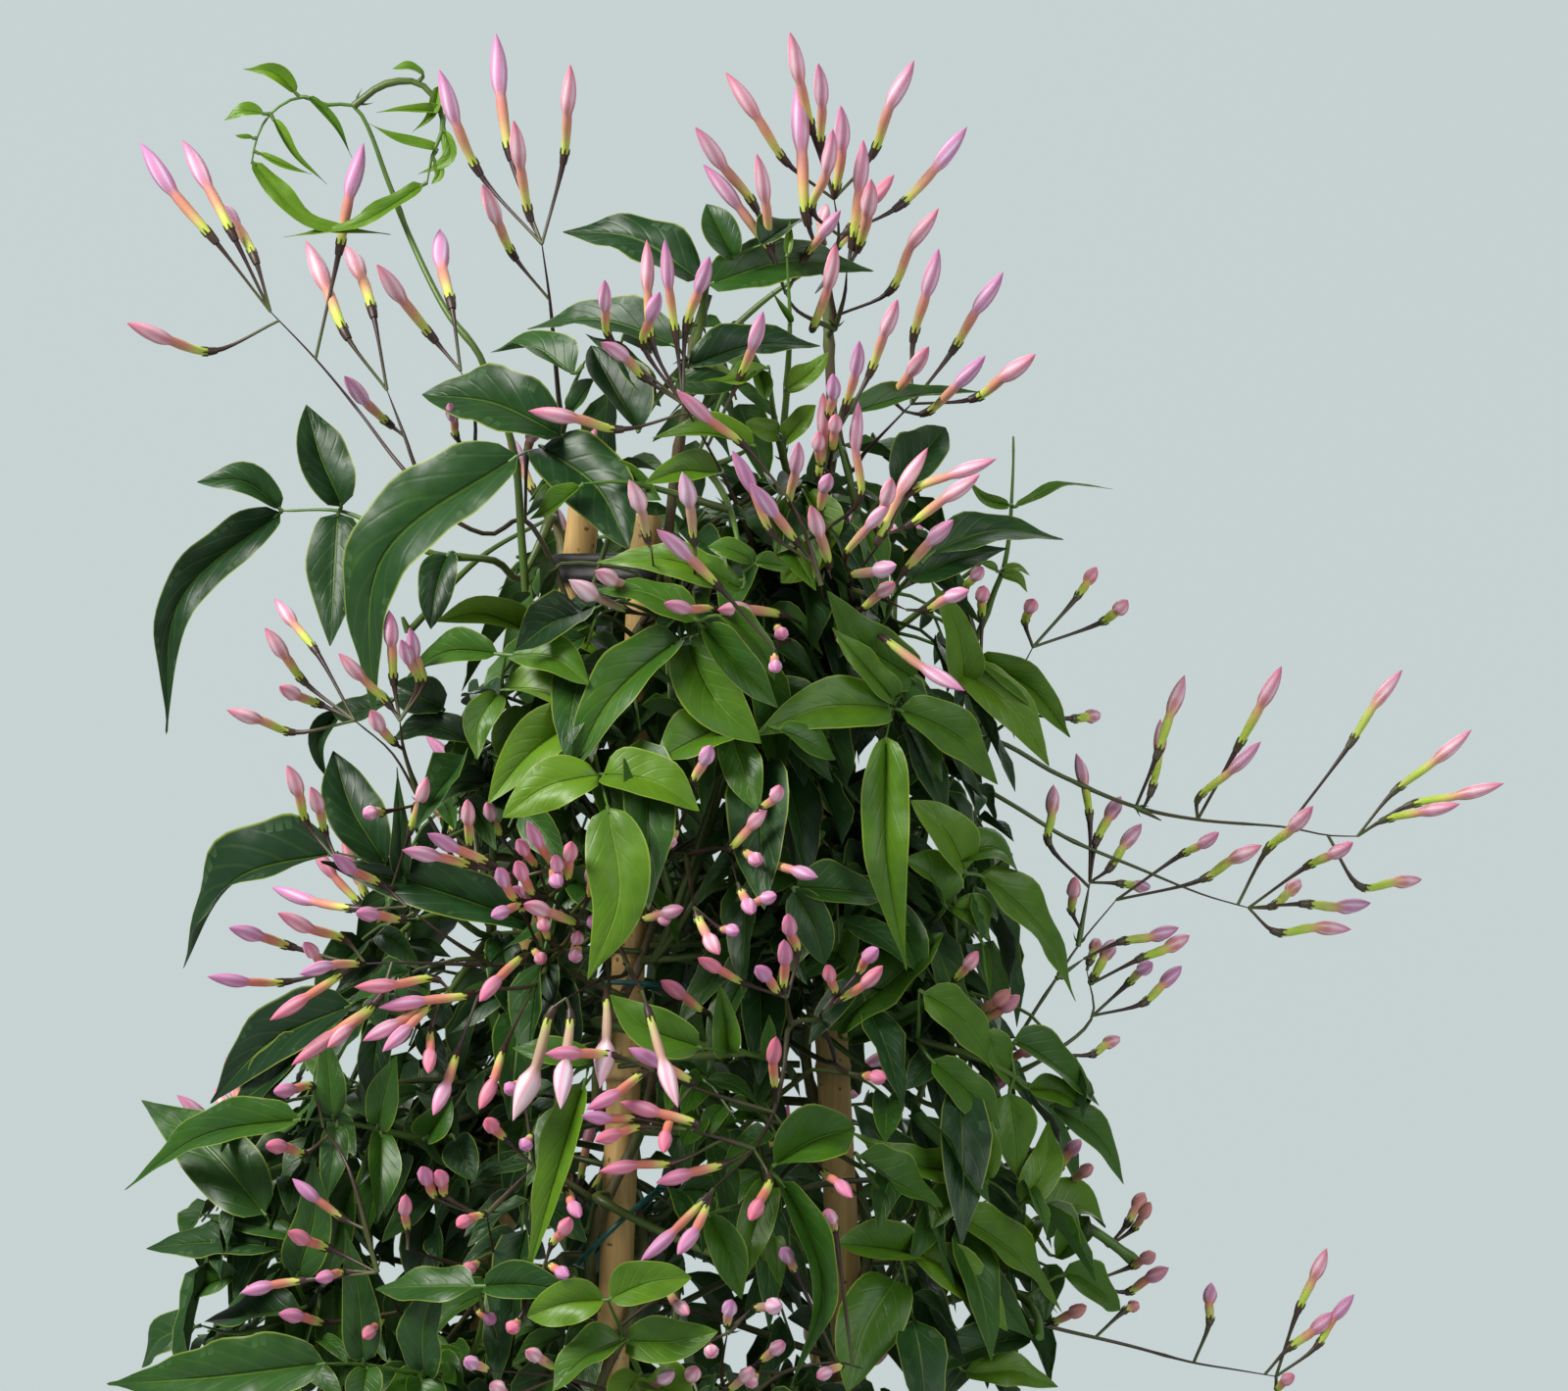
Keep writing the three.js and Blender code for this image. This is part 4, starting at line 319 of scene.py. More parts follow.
# A spray: name, vine, row where it leaves the vine, set back (mm), full bud length, blush, stems and buds.
# A bud is [tip column, tip row, calyx column, calyx row], and one also says how much nearer it lies (mm).
SPRAYS = [
  ["spray_top_left", 0, 670, 1, 120, 0.5, [
    [[536, 530], [500, 545], [460, 528], [408, 474], [366, 419], [322, 366], [276, 318]],
    [[460, 528], [428, 485], [413, 445], [395, 398]],
    [[460, 528], [482, 470], [484, 420], [470, 378]],
  ], [
    [143, 145, 219, 245], [186, 142, 239, 242], [220, 205, 261, 266], [129, 329, 218, 358],
    [371, 145, 346, 257], [312, 245, 354, 343], [352, 250, 381, 321], [351, 383, 398, 433],
    [384, 269, 443, 346], [449, 233, 461, 312], [458, 411, 466, 446], [547, 436, 538, 462],
  ]],
  ["spray_top_centre", 0, 450, 0, 120, 0.45, [
    [[573, 430], [570, 405], [566, 360], [561, 306], [553, 249]],
  ], [
    [448, 70, 489, 176], [492, 187, 525, 262], [506, 33, 521, 160], [524, 122, 541, 222],
    [582, 65, 575, 164],
  ]],
  ["spray_upper_middle", 3, 630, -4, 110, 0.45, [
    [[800, 640], [785, 600], [768, 555], [745, 500], [722, 455], [697, 412]],
  ], [
    [617, 285, 623, 346], [660, 244, 666, 351], [678, 244, 690, 344], [724, 261, 700, 335],
    [673, 297, 657, 354], [613, 349, 658, 386], [779, 317, 754, 387], [539, 419, 633, 438],
  ]],
  ["spray_pale", 1, 680, -8, 90, 0.1, [
    [[690, 655], [672, 636], [668, 590], [665, 562]],
    [[672, 636], [705, 600], [710, 566]],
  ], [
    [642, 489, 661, 551], [696, 481, 708, 553], [580, 591, 641, 623], [607, 582, 651, 606],
  ]],
  ["spray_top_right", 3, 350, 9, 120, 0.4, [
    [[852, 336], [846, 282], [856, 240], [851, 203]],
    [[846, 282], [832, 299]],
    [[852, 336], [815, 318], [802, 300]],
    [[852, 336], [862, 300], [864, 276]],
  ], [
    [740, 73, 803, 166], [806, 32, 829, 134], [835, 64, 838, 150], [813, 84, 824, 226],
    [709, 129, 771, 212], [772, 156, 787, 256], [717, 167, 787, 260], [850, 131, 829, 216],
    [858, 107, 856, 201], [881, 142, 869, 250], [889, 182, 875, 254], [858, 214, 822, 262],
    [933, 61, 890, 158], [987, 129, 915, 212], [853, 247, 829, 336], [958, 212, 907, 298],
  ]],
  ["spray_right_upper", 3, 425, 2, 115, 0.45, [
    [[868, 480], [882, 462], [903, 440], [930, 412]],
  ], [
    [1024, 277, 972, 358], [948, 353, 912, 408], [958, 253, 932, 346], [1057, 361, 992, 407],
    [1006, 362, 942, 422],
  ]],
  ["spray_centre_left", 3, 625, -14, 110, 0.6, [
    [[850, 640], [840, 612], [838, 597]],
    [[850, 640], [800, 655], [790, 664]],
    [[838, 597], [820, 540], [806, 510]],
  ], [
    [690, 398, 760, 455], [747, 459, 789, 545], [765, 493, 814, 554], [677, 615, 730, 622],
    [732, 622, 797, 627], [670, 540, 734, 599], [792, 684, 790, 668], [799, 650, 793, 640],
    [870, 660, 856, 652],
  ]],
  ["spray_centre_top", 3, 530, -7, 110, 0.35, [
    [[842, 500], [850, 455], [856, 438]],
    [[842, 500], [836, 545], [848, 590]],
  ], [
    [916, 305, 887, 382], [877, 347, 862, 417], [815, 450, 807, 514], [840, 400, 835, 488],
    [876, 409, 877, 510], [847, 483, 837, 520], [850, 381, 847, 425], [836, 440, 838, 474],
    [827, 515, 846, 576], [853, 422, 850, 458],
  ]],
  ["spray_centre_right", 3, 690, -22, 110, 0.3, [
    [[872, 640], [866, 600], [880, 578], [905, 545]],
    [[866, 600], [902, 612], [925, 622]],
  ], [
    [947, 456, 895, 554], [909, 512, 863, 566], [910, 487, 895, 540], [1017, 468, 927, 504],
    [1000, 484, 926, 536], [973, 530, 924, 582], [915, 576, 869, 586], [913, 594, 881, 620],
    [989, 602, 944, 622], [985, 705, 902, 651, 9],
  ]],
  ["spray_right_young", 3, 934, 10, 42, 0.55, [
    [[985, 768], [1020, 710], [1043, 680], [1054, 660]],
    [[1020, 710], [1001, 668]],
    [[985, 768], [1040, 728]],
  ], [
    [1119, 578, 1098, 610], [1151, 612, 1123, 635], [1055, 611, 1046, 636], [1004, 597, 1002, 630],
    [1123, 729, 1094, 733], [1003, 578, 984, 602],
  ]],
  ["spray_far_right", 3, 880, 2, 105, 0.4, [
    [[940, 760], [1010, 754], [1080, 790], [1159, 823], [1222, 836], [1314, 844], [1355, 852], [1385, 853]],
    [[940, 760], [985, 792], [1040, 825], [1089, 855], [1160, 885], [1229, 913], [1274, 926]],
    [[1159, 823], [1185, 837]],
  ], [
    [1209, 688, 1180, 772], [1184, 733, 1174, 809], [1308, 679, 1262, 764], [1287, 756, 1222, 816],
    [1431, 683, 1377, 760], [1502, 744, 1422, 808], [1535, 799, 1436, 822], [1490, 820, 1411, 837],
    [1451, 897, 1386, 903], [1340, 822, 1292, 868], [1381, 859, 1333, 884], [1327, 897, 1296, 925],
    [1399, 921, 1329, 922], [1379, 948, 1300, 950],
  ]],
  ["spray_right_middle", 3, 1140, 2, 75, 0.45, [
    [[960, 1130], [1000, 1112], [1030, 1072], [1060, 1025], [1078, 998], [1100, 965], [1139, 918]],
    [[1000, 1112], [1073, 1075], [1115, 1036], [1109, 990]],
    [[1078, 998], [1106, 978]],
    [[1100, 965], [1112, 900]],
  ], [
    [1098, 768, 1112, 836], [1075, 800, 1070, 860], [1144, 812, 1118, 860], [1165, 840, 1131, 887],
    [1244, 849, 1205, 872], [1174, 905, 1141, 901], [1097, 894, 1094, 931], [1288, 862, 1227, 897],
    [1203, 946, 1142, 961], [1214, 954, 1161, 979], [1176, 982, 1150, 1004], [1206, 985, 1165, 1024],
    [1120, 957, 1111, 983], [1137, 958, 1113, 1000], [1143, 1058, 1113, 1076],
  ]],
  ["spray_left_middle", 0, 790, -7, 85, 0.35, [
    [[500, 905], [470, 885], [430, 820], [400, 768], [362, 735]],
    [[430, 820], [412, 765], [408, 735]],
    [[500, 905], [400, 905], [345, 880]],
    [[470, 885], [485, 872]],
  ], [
    [280, 610, 323, 665], [270, 640, 311, 696], [285, 700, 328, 719], [231, 724, 299, 747],
    [345, 666, 398, 720], [397, 622, 402, 697], [378, 724, 403, 758], [409, 652, 427, 698],
    [418, 640, 432, 698], [293, 780, 313, 840], [317, 802, 332, 850], [371, 831, 392, 828],
    [436, 792, 418, 849], [477, 815, 480, 864], [497, 818, 511, 852],
  ]],
  ["spray_left_front", 1, 1010, -14, 105, 0.65, [
    [[600, 1000], [558, 985], [500, 984], [446, 983], [400, 982], [360, 984]],
    [[500, 984], [455, 955], [415, 925]],
    [[558, 985], [545, 1005], [490, 1010], [450, 1015]],
    [[558, 985], [585, 945], [560, 915], [520, 892]],
  ], [
    [339, 871, 391, 903], [277, 905, 365, 927], [363, 931, 411, 937], [283, 931, 354, 960],
    [233, 946, 299, 966], [211, 996, 295, 1001], [275, 1041, 354, 990], [305, 994, 370, 979],
    [310, 961, 334, 990], [361, 1007, 446, 999], [386, 1028, 481, 1015], [297, 1087, 387, 1018],
    [334, 1069, 384, 1023], [370, 1062, 440, 1025], [390, 1073, 442, 1022], [437, 1095, 440, 1050],
    [442, 1138, 467, 1073], [489, 1022, 534, 976], [489, 1132, 514, 1070], [410, 867, 484, 883],
    [436, 850, 502, 881], [538, 838, 563, 884], [528, 856, 548, 885], [527, 878, 545, 912],
    [508, 885, 528, 918], [501, 935, 532, 922], [534, 922, 588, 942], [571, 903, 562, 888],
    [602, 884, 601, 915], [556, 948, 552, 934], [554, 981, 545, 970], [585, 979, 590, 966],
    [603, 935, 614, 952], [583, 858, 578, 898], [566, 872, 570, 905], [552, 930, 560, 958],
    [590, 950, 584, 972], [536, 900, 545, 928], [610, 880, 606, 905], [524, 905, 534, 930],
  ]],
  ["spray_hanging", 2, 990, -16, 115, 0.05, [
    [[640, 985], [612, 1000], [578, 1018]],
    [[640, 985], [655, 1010]],
  ], [
    [523, 1144, 564, 1030], [572, 1132, 582, 1033], [612, 1111, 619, 1016], [692, 1130, 661, 1030],
  ]],
  ["spray_low_centre", 3, 1110, -12, 85, 0.9, [
    [[850, 1085], [838, 1040], [840, 1030]],
    [[838, 1040], [807, 1045], [800, 1090], [789, 1135], [769, 1172], [728, 1212]],
    [[807, 1045], [803, 1018]],
    [[789, 1135], [740, 1120], [705, 1108], [668, 1092]],
    [[769, 1172], [738, 1162], [700, 1152]],
    [[850, 1085], [866, 1094]],
  ], [
    [556, 1075, 627, 1077], [641, 1069, 706, 1104], [598, 1132, 658, 1094], [593, 1138, 651, 1141],
    [632, 1124, 712, 1148], [607, 1164, 656, 1149], [677, 1176, 688, 1133], [611, 1195, 688, 1186],
    [669, 1207, 740, 1187], [653, 1288, 722, 1220], [691, 1280, 723, 1226], [765, 1245, 785, 1201],
    [870, 1222, 836, 1193], [792, 1057, 791, 1110], [804, 932, 814, 972], [800, 958, 800, 1010],
    [771, 986, 795, 1013], [712, 977, 760, 1003], [674, 1000, 717, 1031], [844, 984, 852, 1014],
    [896, 967, 875, 994], [901, 985, 855, 1021], [904, 1100, 880, 1097],
  ]],
  ["spray_middle", 2, 880, -8, 60, 0.5, [
    [[680, 872], [700, 872], [740, 866], [752, 900]],
    [[740, 866], [775, 824]],
    [[700, 872], [708, 925]],
    [[680, 872], [712, 800]],
  ], [
    [768, 932, 755, 907], [792, 913, 765, 920], [734, 974, 711, 933], [754, 950, 735, 947],
    [835, 895, 786, 881], [775, 880, 760, 869], [796, 801, 780, 826], [783, 822, 745, 866],
    [681, 862, 690, 848], [725, 760, 708, 797], [698, 926, 655, 936], [682, 942, 668, 930],
  ]],
  ["spray_low_left", 0, 1400, -8, 70, 0.9, [
    [[440, 1390], [420, 1360], [400, 1325], [385, 1298]],
    [[440, 1390], [500, 1300], [497, 1238]],
    [[500, 1300], [416, 1275]],
    [[385, 1298], [355, 1190], [330, 1150]],
    [[497, 1238], [545, 1190]],
    [[500, 1300], [560, 1290]],
  ], [
    [298, 1202, 352, 1244], [294, 1256, 337, 1274], [322, 1305, 351, 1297], [245, 1319, 311, 1306],
    [284, 1340, 332, 1349], [371, 1365, 391, 1346], [414, 1218, 416, 1256], [466, 1251, 493, 1236],
    [475, 1297, 488, 1288], [505, 1349, 488, 1338], [520, 1357, 530, 1346], [271, 1169, 312, 1176],
    [279, 1114, 319, 1109], [446, 1194, 455, 1220], [430, 1190, 446, 1222], [592, 1242, 578, 1214],
    [582, 1242, 563, 1270], [580, 1302, 560, 1288], [496, 1142, 516, 1162], [517, 1112, 530, 1106],
    [534, 1170, 542, 1160],
  ]],
  ["spray_bottom", 2, 1480, -8, 55, 0.3, [
    [[740, 1450], [736, 1400], [742, 1360]],
    [[740, 1450], [800, 1400], [855, 1390], [880, 1396]],
    [[740, 1450], [690, 1440], [570, 1405], [500, 1398]],
    [[742, 1360], [768, 1334]],
  ], [
    [703, 1341, 679, 1321], [746, 1326, 742, 1352], [797, 1331, 771, 1334], [800, 1369, 777, 1388],
    [768, 1395, 745, 1417], [711, 1395, 700, 1418], [688, 1399, 661, 1420], [727, 1382, 722, 1370],
    [764, 1412, 772, 1402], [834, 1406, 858, 1393], [537, 1378, 566, 1396], [475, 1388, 498, 1397],
    [798, 1273, 812, 1298], [843, 1234, 852, 1256], [500, 1412, 520, 1424],
  ]],
  ["spray_right_edge", 3, 1230, 2, 55, 0.55, [
    [[980, 1180], [1050, 1215], [1090, 1230], [1130, 1272]],
    [[1090, 1230], [1120, 1312]],
    [[980, 1180], [990, 1100], [985, 1045], [968, 1008]],
    [[980, 1180], [1000, 1280], [1024, 1338], [1067, 1352], [1150, 1372], [1218, 1390], [1260, 1397],
      [1302, 1404]],
  ], [
    [1236, 1308, 1234, 1350], [1354, 1273, 1324, 1338], [1361, 1338, 1314, 1376], [1382, 1320, 1343, 1374],
    [1320, 1402, 1303, 1416], [1103, 1162, 1079, 1194], [1114, 1188, 1094, 1206], [1168, 1216, 1149, 1250],
    [1174, 1226, 1156, 1254], [1179, 1279, 1154, 1292], [1193, 1293, 1150, 1318], [1161, 1330, 1146, 1338],
    [1109, 1332, 1075, 1349], [1031, 1010, 998, 1032], [1041, 1015, 1001, 1042], [1057, 1068, 1030, 1081],
    [1029, 1093, 1007, 1124], [998, 970, 974, 1000],
  ]],
]

# A branch behind or below: name, vine, row where it leaves the vine, its bearing round the bush (0 at the
# back, positive to the right), and the heights of its lowest and highest storey.
BRANCHES = [
  ["branch_back_left", 0, 1500, -52, 175, 440],
  ["branch_back_middle", 2, 1540, 0, 165, 455],
  ["branch_back_right", 3, 1500, 52, 175, 430],
  ["branch_low_front", 1, 1560, 180, 150, 190],
]

# ---- Places ----
UP = np.array([0.0, 0.0, 1.0])
# A path leaves out a point that is nearer than this to the one before it.
NEAR = 1.5


def unit(vectors):
    return vectors / np.maximum(np.linalg.norm(vectors, axis=-1, keepdims=True), 1e-9)


def grain(seed):
    """A repeatable number from 0 to 1."""
    wave = math.sin(seed * 127.1 + 311.7) * 43758.5453
    return wave - math.floor(wave)


def between(table, height):
    """The later columns of a table at a height between its rows."""
    rows = np.array(table, float)
    return [float(np.interp(height, rows[:, 0], column)) for column in rows[:, 1:].T]


def at_depth(column, row, depth):
    """A grid place at a depth behind the pot's axis, in the eye's perspective."""
    flat = np.array([(column - AXIS_COLUMN) * SQUARE, 0, (FLOOR_ROW - row) * SQUARE])
    return (flat - EYE) * (1 - depth / EYE[1]) + EYE


def scatter(chance, lows, highs):
    """A vector drawn at random between two corners."""
    return np.array([chance.uniform(low, high) for low, high in zip(lows, highs)])


def turned(direction, angle):
    """A direction turned about the upright."""
    return np.array(Quaternion((0, 0, 1), angle) @ Vector(direction))


def inside(boxes, place):
    """Whether a grid place lies in one of the boxes [left, top, right, bottom]."""
    return any(left < place[0] < right and top < place[1] < bottom for left, top, right, bottom in boxes)


def on_grid(point):
    """The grid place of a point, as the eye sees it."""
    flat = (point - EYE) / (1 - point[1] / EYE[1]) + EYE
    return np.array([AXIS_COLUMN + flat[0] / SQUARE, FLOOR_ROW - flat[2] / SQUARE])


def bulge(column, row):
    """How far the bush's front stands out from the pot's axis at a grid place."""
    middle, half = between(BUSH, (FLOOR_ROW - row) * SQUARE)
    across = ((column - AXIS_COLUMN) * SQUARE - middle) / half
    return BULGE * half * max(0, 1 - across * across)


class Path:
    """A smooth curve through points, with places and directions by share of its length."""

    def __init__(self, points, samples=120):
        points = np.array(points, float)
        run = np.vstack([2 * points[0] - points[1], points, 2 * points[-1] - points[-2]])
        walk = np.linspace(0, len(points) - 1, samples + 1)
        first = np.minimum(walk.astype(int), len(points) - 2)
        part = (walk - first)[:, None]
        before, start, end, after = (run[first + k] for k in range(4))
        gap_in, gap, gap_out = (
            np.sum((b - a) ** 2, axis=1, keepdims=True) ** 0.25
            for a, b in ((before, start), (start, end), (end, after))
        )
        leaving = (start - before) / gap_in - (end - before) / (gap_in + gap) + (end - start) / gap
        coming = (end - start) / gap - (after - start) / (gap + gap_out) + (after - end) / gap_out
        leaving, coming = leaving * gap, coming * gap
        square = -3 * start + 3 * end - 2 * leaving - coming
        cube = 2 * start - 2 * end + leaving + coming
        self.points = start + part * leaving + part**2 * square + part**3 * cube
        steps = np.linalg.norm(np.diff(self.points, axis=0), axis=1)
        self.length = float(steps.sum())
        self.shares = np.concatenate([[0], np.cumsum(steps)]) / self.length

    def at(self, share):
        return np.stack([np.interp(share, self.shares, self.points[:, k]) for k in range(3)], axis=-1)

    def along(self, share):
        step = 0.01
        share = np.asarray(share, float)
        return unit(self.at(np.minimum(share + step, 1)) - self.at(np.maximum(share - step, 0)))


def path_through(points):
    """A path that skips points too near their neighbour to steer by."""
    kept = [points[0]]
    for last, point in zip(points, points[1:]):
        if np.linalg.norm(point - last) > NEAR:
            kept.append(point)
    return Path(kept, samples=40)


def cane_at(cane, height):
    foot, top = (np.array(end, float) for end in CANES[cane])
    return foot + (top - foot) * (height - foot[2]) / (top[2] - foot[2])


# ---- Pieces ----
# What a skin tells its finish at every point.
LOOKS = ("along", "across", "tone", "shade", "under")
# An edge that bends more than this (degrees) isn't shaded smooth.
SHARP_ANGLE = 62
# How much thicker a stem is at a joint, and how far along (mm) it swells.
KNOT_SWELL = 0.3
KNOT_REACH = 1.6


class Piece:
    """A named piece as it grows: its stems and their joints, and the skins that its mesh is made of."""

    def __init__(self, node):
        self.node = node
        self.chance = random.Random(node)
        self.joints = []
        self.bends = []
        self.stems = []
        self.ends = []
        self.count = 0
        self.corners = []
        self.faces = []
        self.painted = []
        self.finishes = []
        self.looks = {look: [] for look in LOOKS}

    def skin(self, rings, finish, tips=None, closed=False, **looks):
        """Adds a closed skin over rings (count, sides, 3): a point at each end, or a closed loop of rings."""
        count, sides = rings.shape[:2]
        places = rings.reshape(-1, 3)
        ring = self.count + np.arange(count * sides).reshape(count, sides)
        if closed:
            ring = np.vstack([ring, ring[:1]])
        turned = np.roll(ring, -1, axis=1)
        quads = np.stack([ring[:-1], turned[:-1], turned[1:], ring[1:]], axis=-1).reshape(-1, 4)
        faces = quads.tolist()
        if not closed:
            if tips is None:
                tips = (rings[0].mean(axis=0), rings[-1].mean(axis=0))
            places = np.vstack([places, tips])
            start = self.count + count * sides
            faces += [[start, b, a] for a, b in zip(ring[0].tolist(), turned[0].tolist())]
            faces += [[start + 1, a, b] for a, b in zip(ring[-1].tolist(), turned[-1].tolist())]
        corner = places - places.mean(axis=0)
        a, b, c = (corner[quads[:, k] - self.count] for k in (0, 1, 2))
        if np.einsum("ij,ij->", a, np.cross(b, c)) < 0:
            faces = [face[::-1] for face in faces]
        if finish not in self.finishes:
            self.finishes.append(finish)
        self.corners.append(places)
        self.faces += faces
        self.painted += [self.finishes.index(finish)] * len(faces)
        self.count += len(places)
        for look in LOOKS:
            value = np.broadcast_to(np.asarray(looks.get(look, 0), float), (count, sides))
            ends = () if closed else (value[0].mean(), value[-1].mean())
            self.looks[look].append(np.concatenate([value.reshape(-1), ends]))

    def make(self):
        """Makes the object that stands for the frame's node."""
        mesh = bpy.data.meshes.new(self.node)
        mesh.from_pydata((np.vstack(self.corners) * MM).tolist(), [], self.faces)
        for finish in self.finishes:
            mesh.materials.append(finish)
        mesh.polygons.foreach_set("material_index", self.painted)
        for look, parts in self.looks.items():
            mark = mesh.attributes.new(look, "FLOAT", "POINT")
            mark.data.foreach_set("value", np.concatenate(parts).astype(np.float32))
        mesh.shade_smooth()
        mesh.set_sharp_from_angle(angle=math.radians(SHARP_ANGLE))
        body = bpy.data.objects.new(f"{self.node}_finished", mesh)
        bpy.context.scene.collection.objects.link(body)
        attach(body, "root")
        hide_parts(self.node)
        return body


def frames(path, shares):
    """Side and normal directions along a path that don't twist about it."""
    along = path.along(shares)
    sides = np.empty_like(along)
    guide = np.array([0.0, 1.0, 0.0]) if abs(along[0][2]) > 0.8 else UP
    last = np.cross(along[0], guide)
    for k, ahead in enumerate(along):
        last = last - ahead * last.dot(ahead)
        last /= np.linalg.norm(last)
        sides[k] = last
    return sides, np.cross(along, sides)


def round_rings(middle, side, normal, radius, sides):
    """Circles of a radius each about their middles."""
    angle = TURN * np.arange(sides) / sides
    ring = np.cos(angle)[None, :, None] * side[:, None] + np.sin(angle)[None, :, None] * normal[:, None]
    return middle[:, None] + radius[:, None, None] * ring


def tube(piece, path, radius, finish, sides=7, step=3.0, high=1.0, knots=(), **looks):
    """A round stem along a path, up to a share of it, and a little thicker at its knots."""
    count = max(4, round(path.length * high / step)) + 1
    shares = np.linspace(0, high, count)
    thick = np.interp(shares / high, np.linspace(0, 1, np.size(radius)), np.atleast_1d(radius))
    for knot in knots:
        thick = thick * (1 + KNOT_SWELL * np.exp(-(((shares - knot) * path.length / KNOT_REACH) ** 2)))
    side, normal = frames(path, shares)
    rings = round_rings(path.at(shares), side, normal, thick, sides)
    around = np.arange(sides) / sides
    piece.skin(rings, finish, along=shares[:, None], across=around[None, :], **looks)


# ---- Vines, stems and where things join them ----
TWINE_STEPS = 8
# Places on a vine from which stems can leave its free top, for each point that its path goes through.
PLACES_A_POINT = 1.25
# A stem leaves the vine at most so far (radians) round the cane from the side that faces its end.
LEAVING_TURN = 1.05
LEAVING_BELOW_TOP = 4
LEAVING_RUN = 6
# Joints along a stem, and how far along its last stretch the last one is.
STEM_STEP = 18
LAST_JOINT = 0.85
# A branch's stem, and its side stems' bends and ends: shares of the bush's half width out from its middle,
# and how much higher than its storey a side stem's bend and end are.
BRANCH_REACH, BEND_REACH, END_REACH = 0.8, 0.9, 0.96
BEND_RISE, END_RISE = 16, 26
# How far a branch's stem sways to either side of its bearing (degrees).
BRANCH_SWAY = 8


class Vine:
    """A vine that twines up a cane and ends in a free top."""

    def __init__(self, name, cane, bearing, depth, top):
        self.name, self.cane, self.bearing = name, cane, bearing
        levels = np.arange(TWINE_TOP, SOIL_TOP - VINE_DEPTH_IN_SOIL, -TWINE_PITCH / TWINE_STEPS)[::-1]
        points = [self.twine(level)[0] for level in levels]
        points += [at_depth(column, row, depth) for column, row in top]
        self.path = Path(points, samples=400)
        places = round(len(points) * PLACES_A_POINT)
        self.centres = self.path.at(np.linspace(0, 1, places + 1))

    def twine(self, height):
        """The vine's middle and its outward direction from the cane, where it twines."""
        share = min(max((height - SOIL_TOP) / (TWINE_START - SOIL_TOP), 0), 1)
        reach = ROOT_REACH + (TWINE_REACH - ROOT_REACH) * math.sqrt(share)
        angle = math.radians(self.bearing + 360 * (height - TWINE_TOP) / TWINE_PITCH)
        outward = np.array([math.cos(angle), math.sin(angle), 0])
        return cane_at(self.cane, height) + outward * reach, outward

    def leave(self, height, target):
        """Where a stem leaves the vine's skin towards a target, and in which direction."""
        if height > TWINE_TOP and self.centres[-1][2] > TWINE_TOP + TWINE_PITCH / 4:
            nearest = int(np.argmin(np.abs(self.centres[:, 2] - height)))
            ahead = min(nearest + 1, len(self.centres) - 1)
            along = unit(self.centres[ahead] - self.centres[ahead - 1])
            middle = self.centres[nearest]
            outward = target - middle
            outward = unit(outward - along * outward.dot(along))
        else:
            axis = cane_at(self.cane, height)
            wanted = math.atan2(target[1] - axis[1], target[0] - axis[0])
            bearing = math.radians(self.bearing + 360 * (height - TWINE_TOP) / TWINE_PITCH)
            turn = (wanted - bearing + math.pi) % TURN - math.pi
            excess = math.copysign(max(0, abs(turn) - LEAVING_TURN), turn)
            level = height + TWINE_PITCH * excess / TURN
            if level > TWINE_TOP - LEAVING_BELOW_TOP:
                level -= TWINE_PITCH
            if level < TWINE_START:
                level += TWINE_PITCH
            middle, outward = self.twine(level)
        return middle + outward * (VINE_RADIUS + GAP), outward


vines = [Vine(*row) for row in VINES]


def add_stem(piece, points):
    """Adds a stem's path, and the joints along it where leaves and buds grow."""
    path = Path(points, samples=200)
    steps = max(2, round(path.length / STEM_STEP))
    shares = [(k + (LAST_JOINT if k == steps - 1 else 0.5)) / steps for k in range(steps)]
    joints = [path.at(share) for share in shares]
    piece.stems.append((path, shares))
    piece.joints += [(joint, on_grid(joint)) for joint in joints]
    piece.bends += [(bend, on_grid(bend)) for bend in points[2 if len(piece.stems) == 1 else 1:]]


def nearest_joint(piece, place, cost=lambda grid: 1):
    """The joint or bend from which a leaf or bud at a grid place grows."""
    choice = piece.joints + piece.bends
    return min(choice, key=lambda joint: math.dist(joint[1], place) * cost(joint[1]))[0]


def grow_drawn(piece, vine, row, set_back, stems):
    """Stems drawn on the grid: the first comes from the vine, each later one from a bend before it."""

    def surface(place):
        return set_back - bulge(*place)

    for order, stem in enumerate(stems):
        if order == 0:
            target = at_depth(*stem[0], surface(stem[0]))
            start, outward = vines[vine].leave((FLOOR_ROW - row) * SQUARE, target)
            points, bends = [start, start + outward * LEAVING_RUN], stem
        else:
            points, bends = [nearest_joint(piece, stem[0])], stem[1:]
        first = points[0][1]
        for k, bend in enumerate(bends):
            points.append(at_depth(*bend, first + (surface(bend) - first) * (k + 1) / len(bends)))
        add_stem(piece, points)


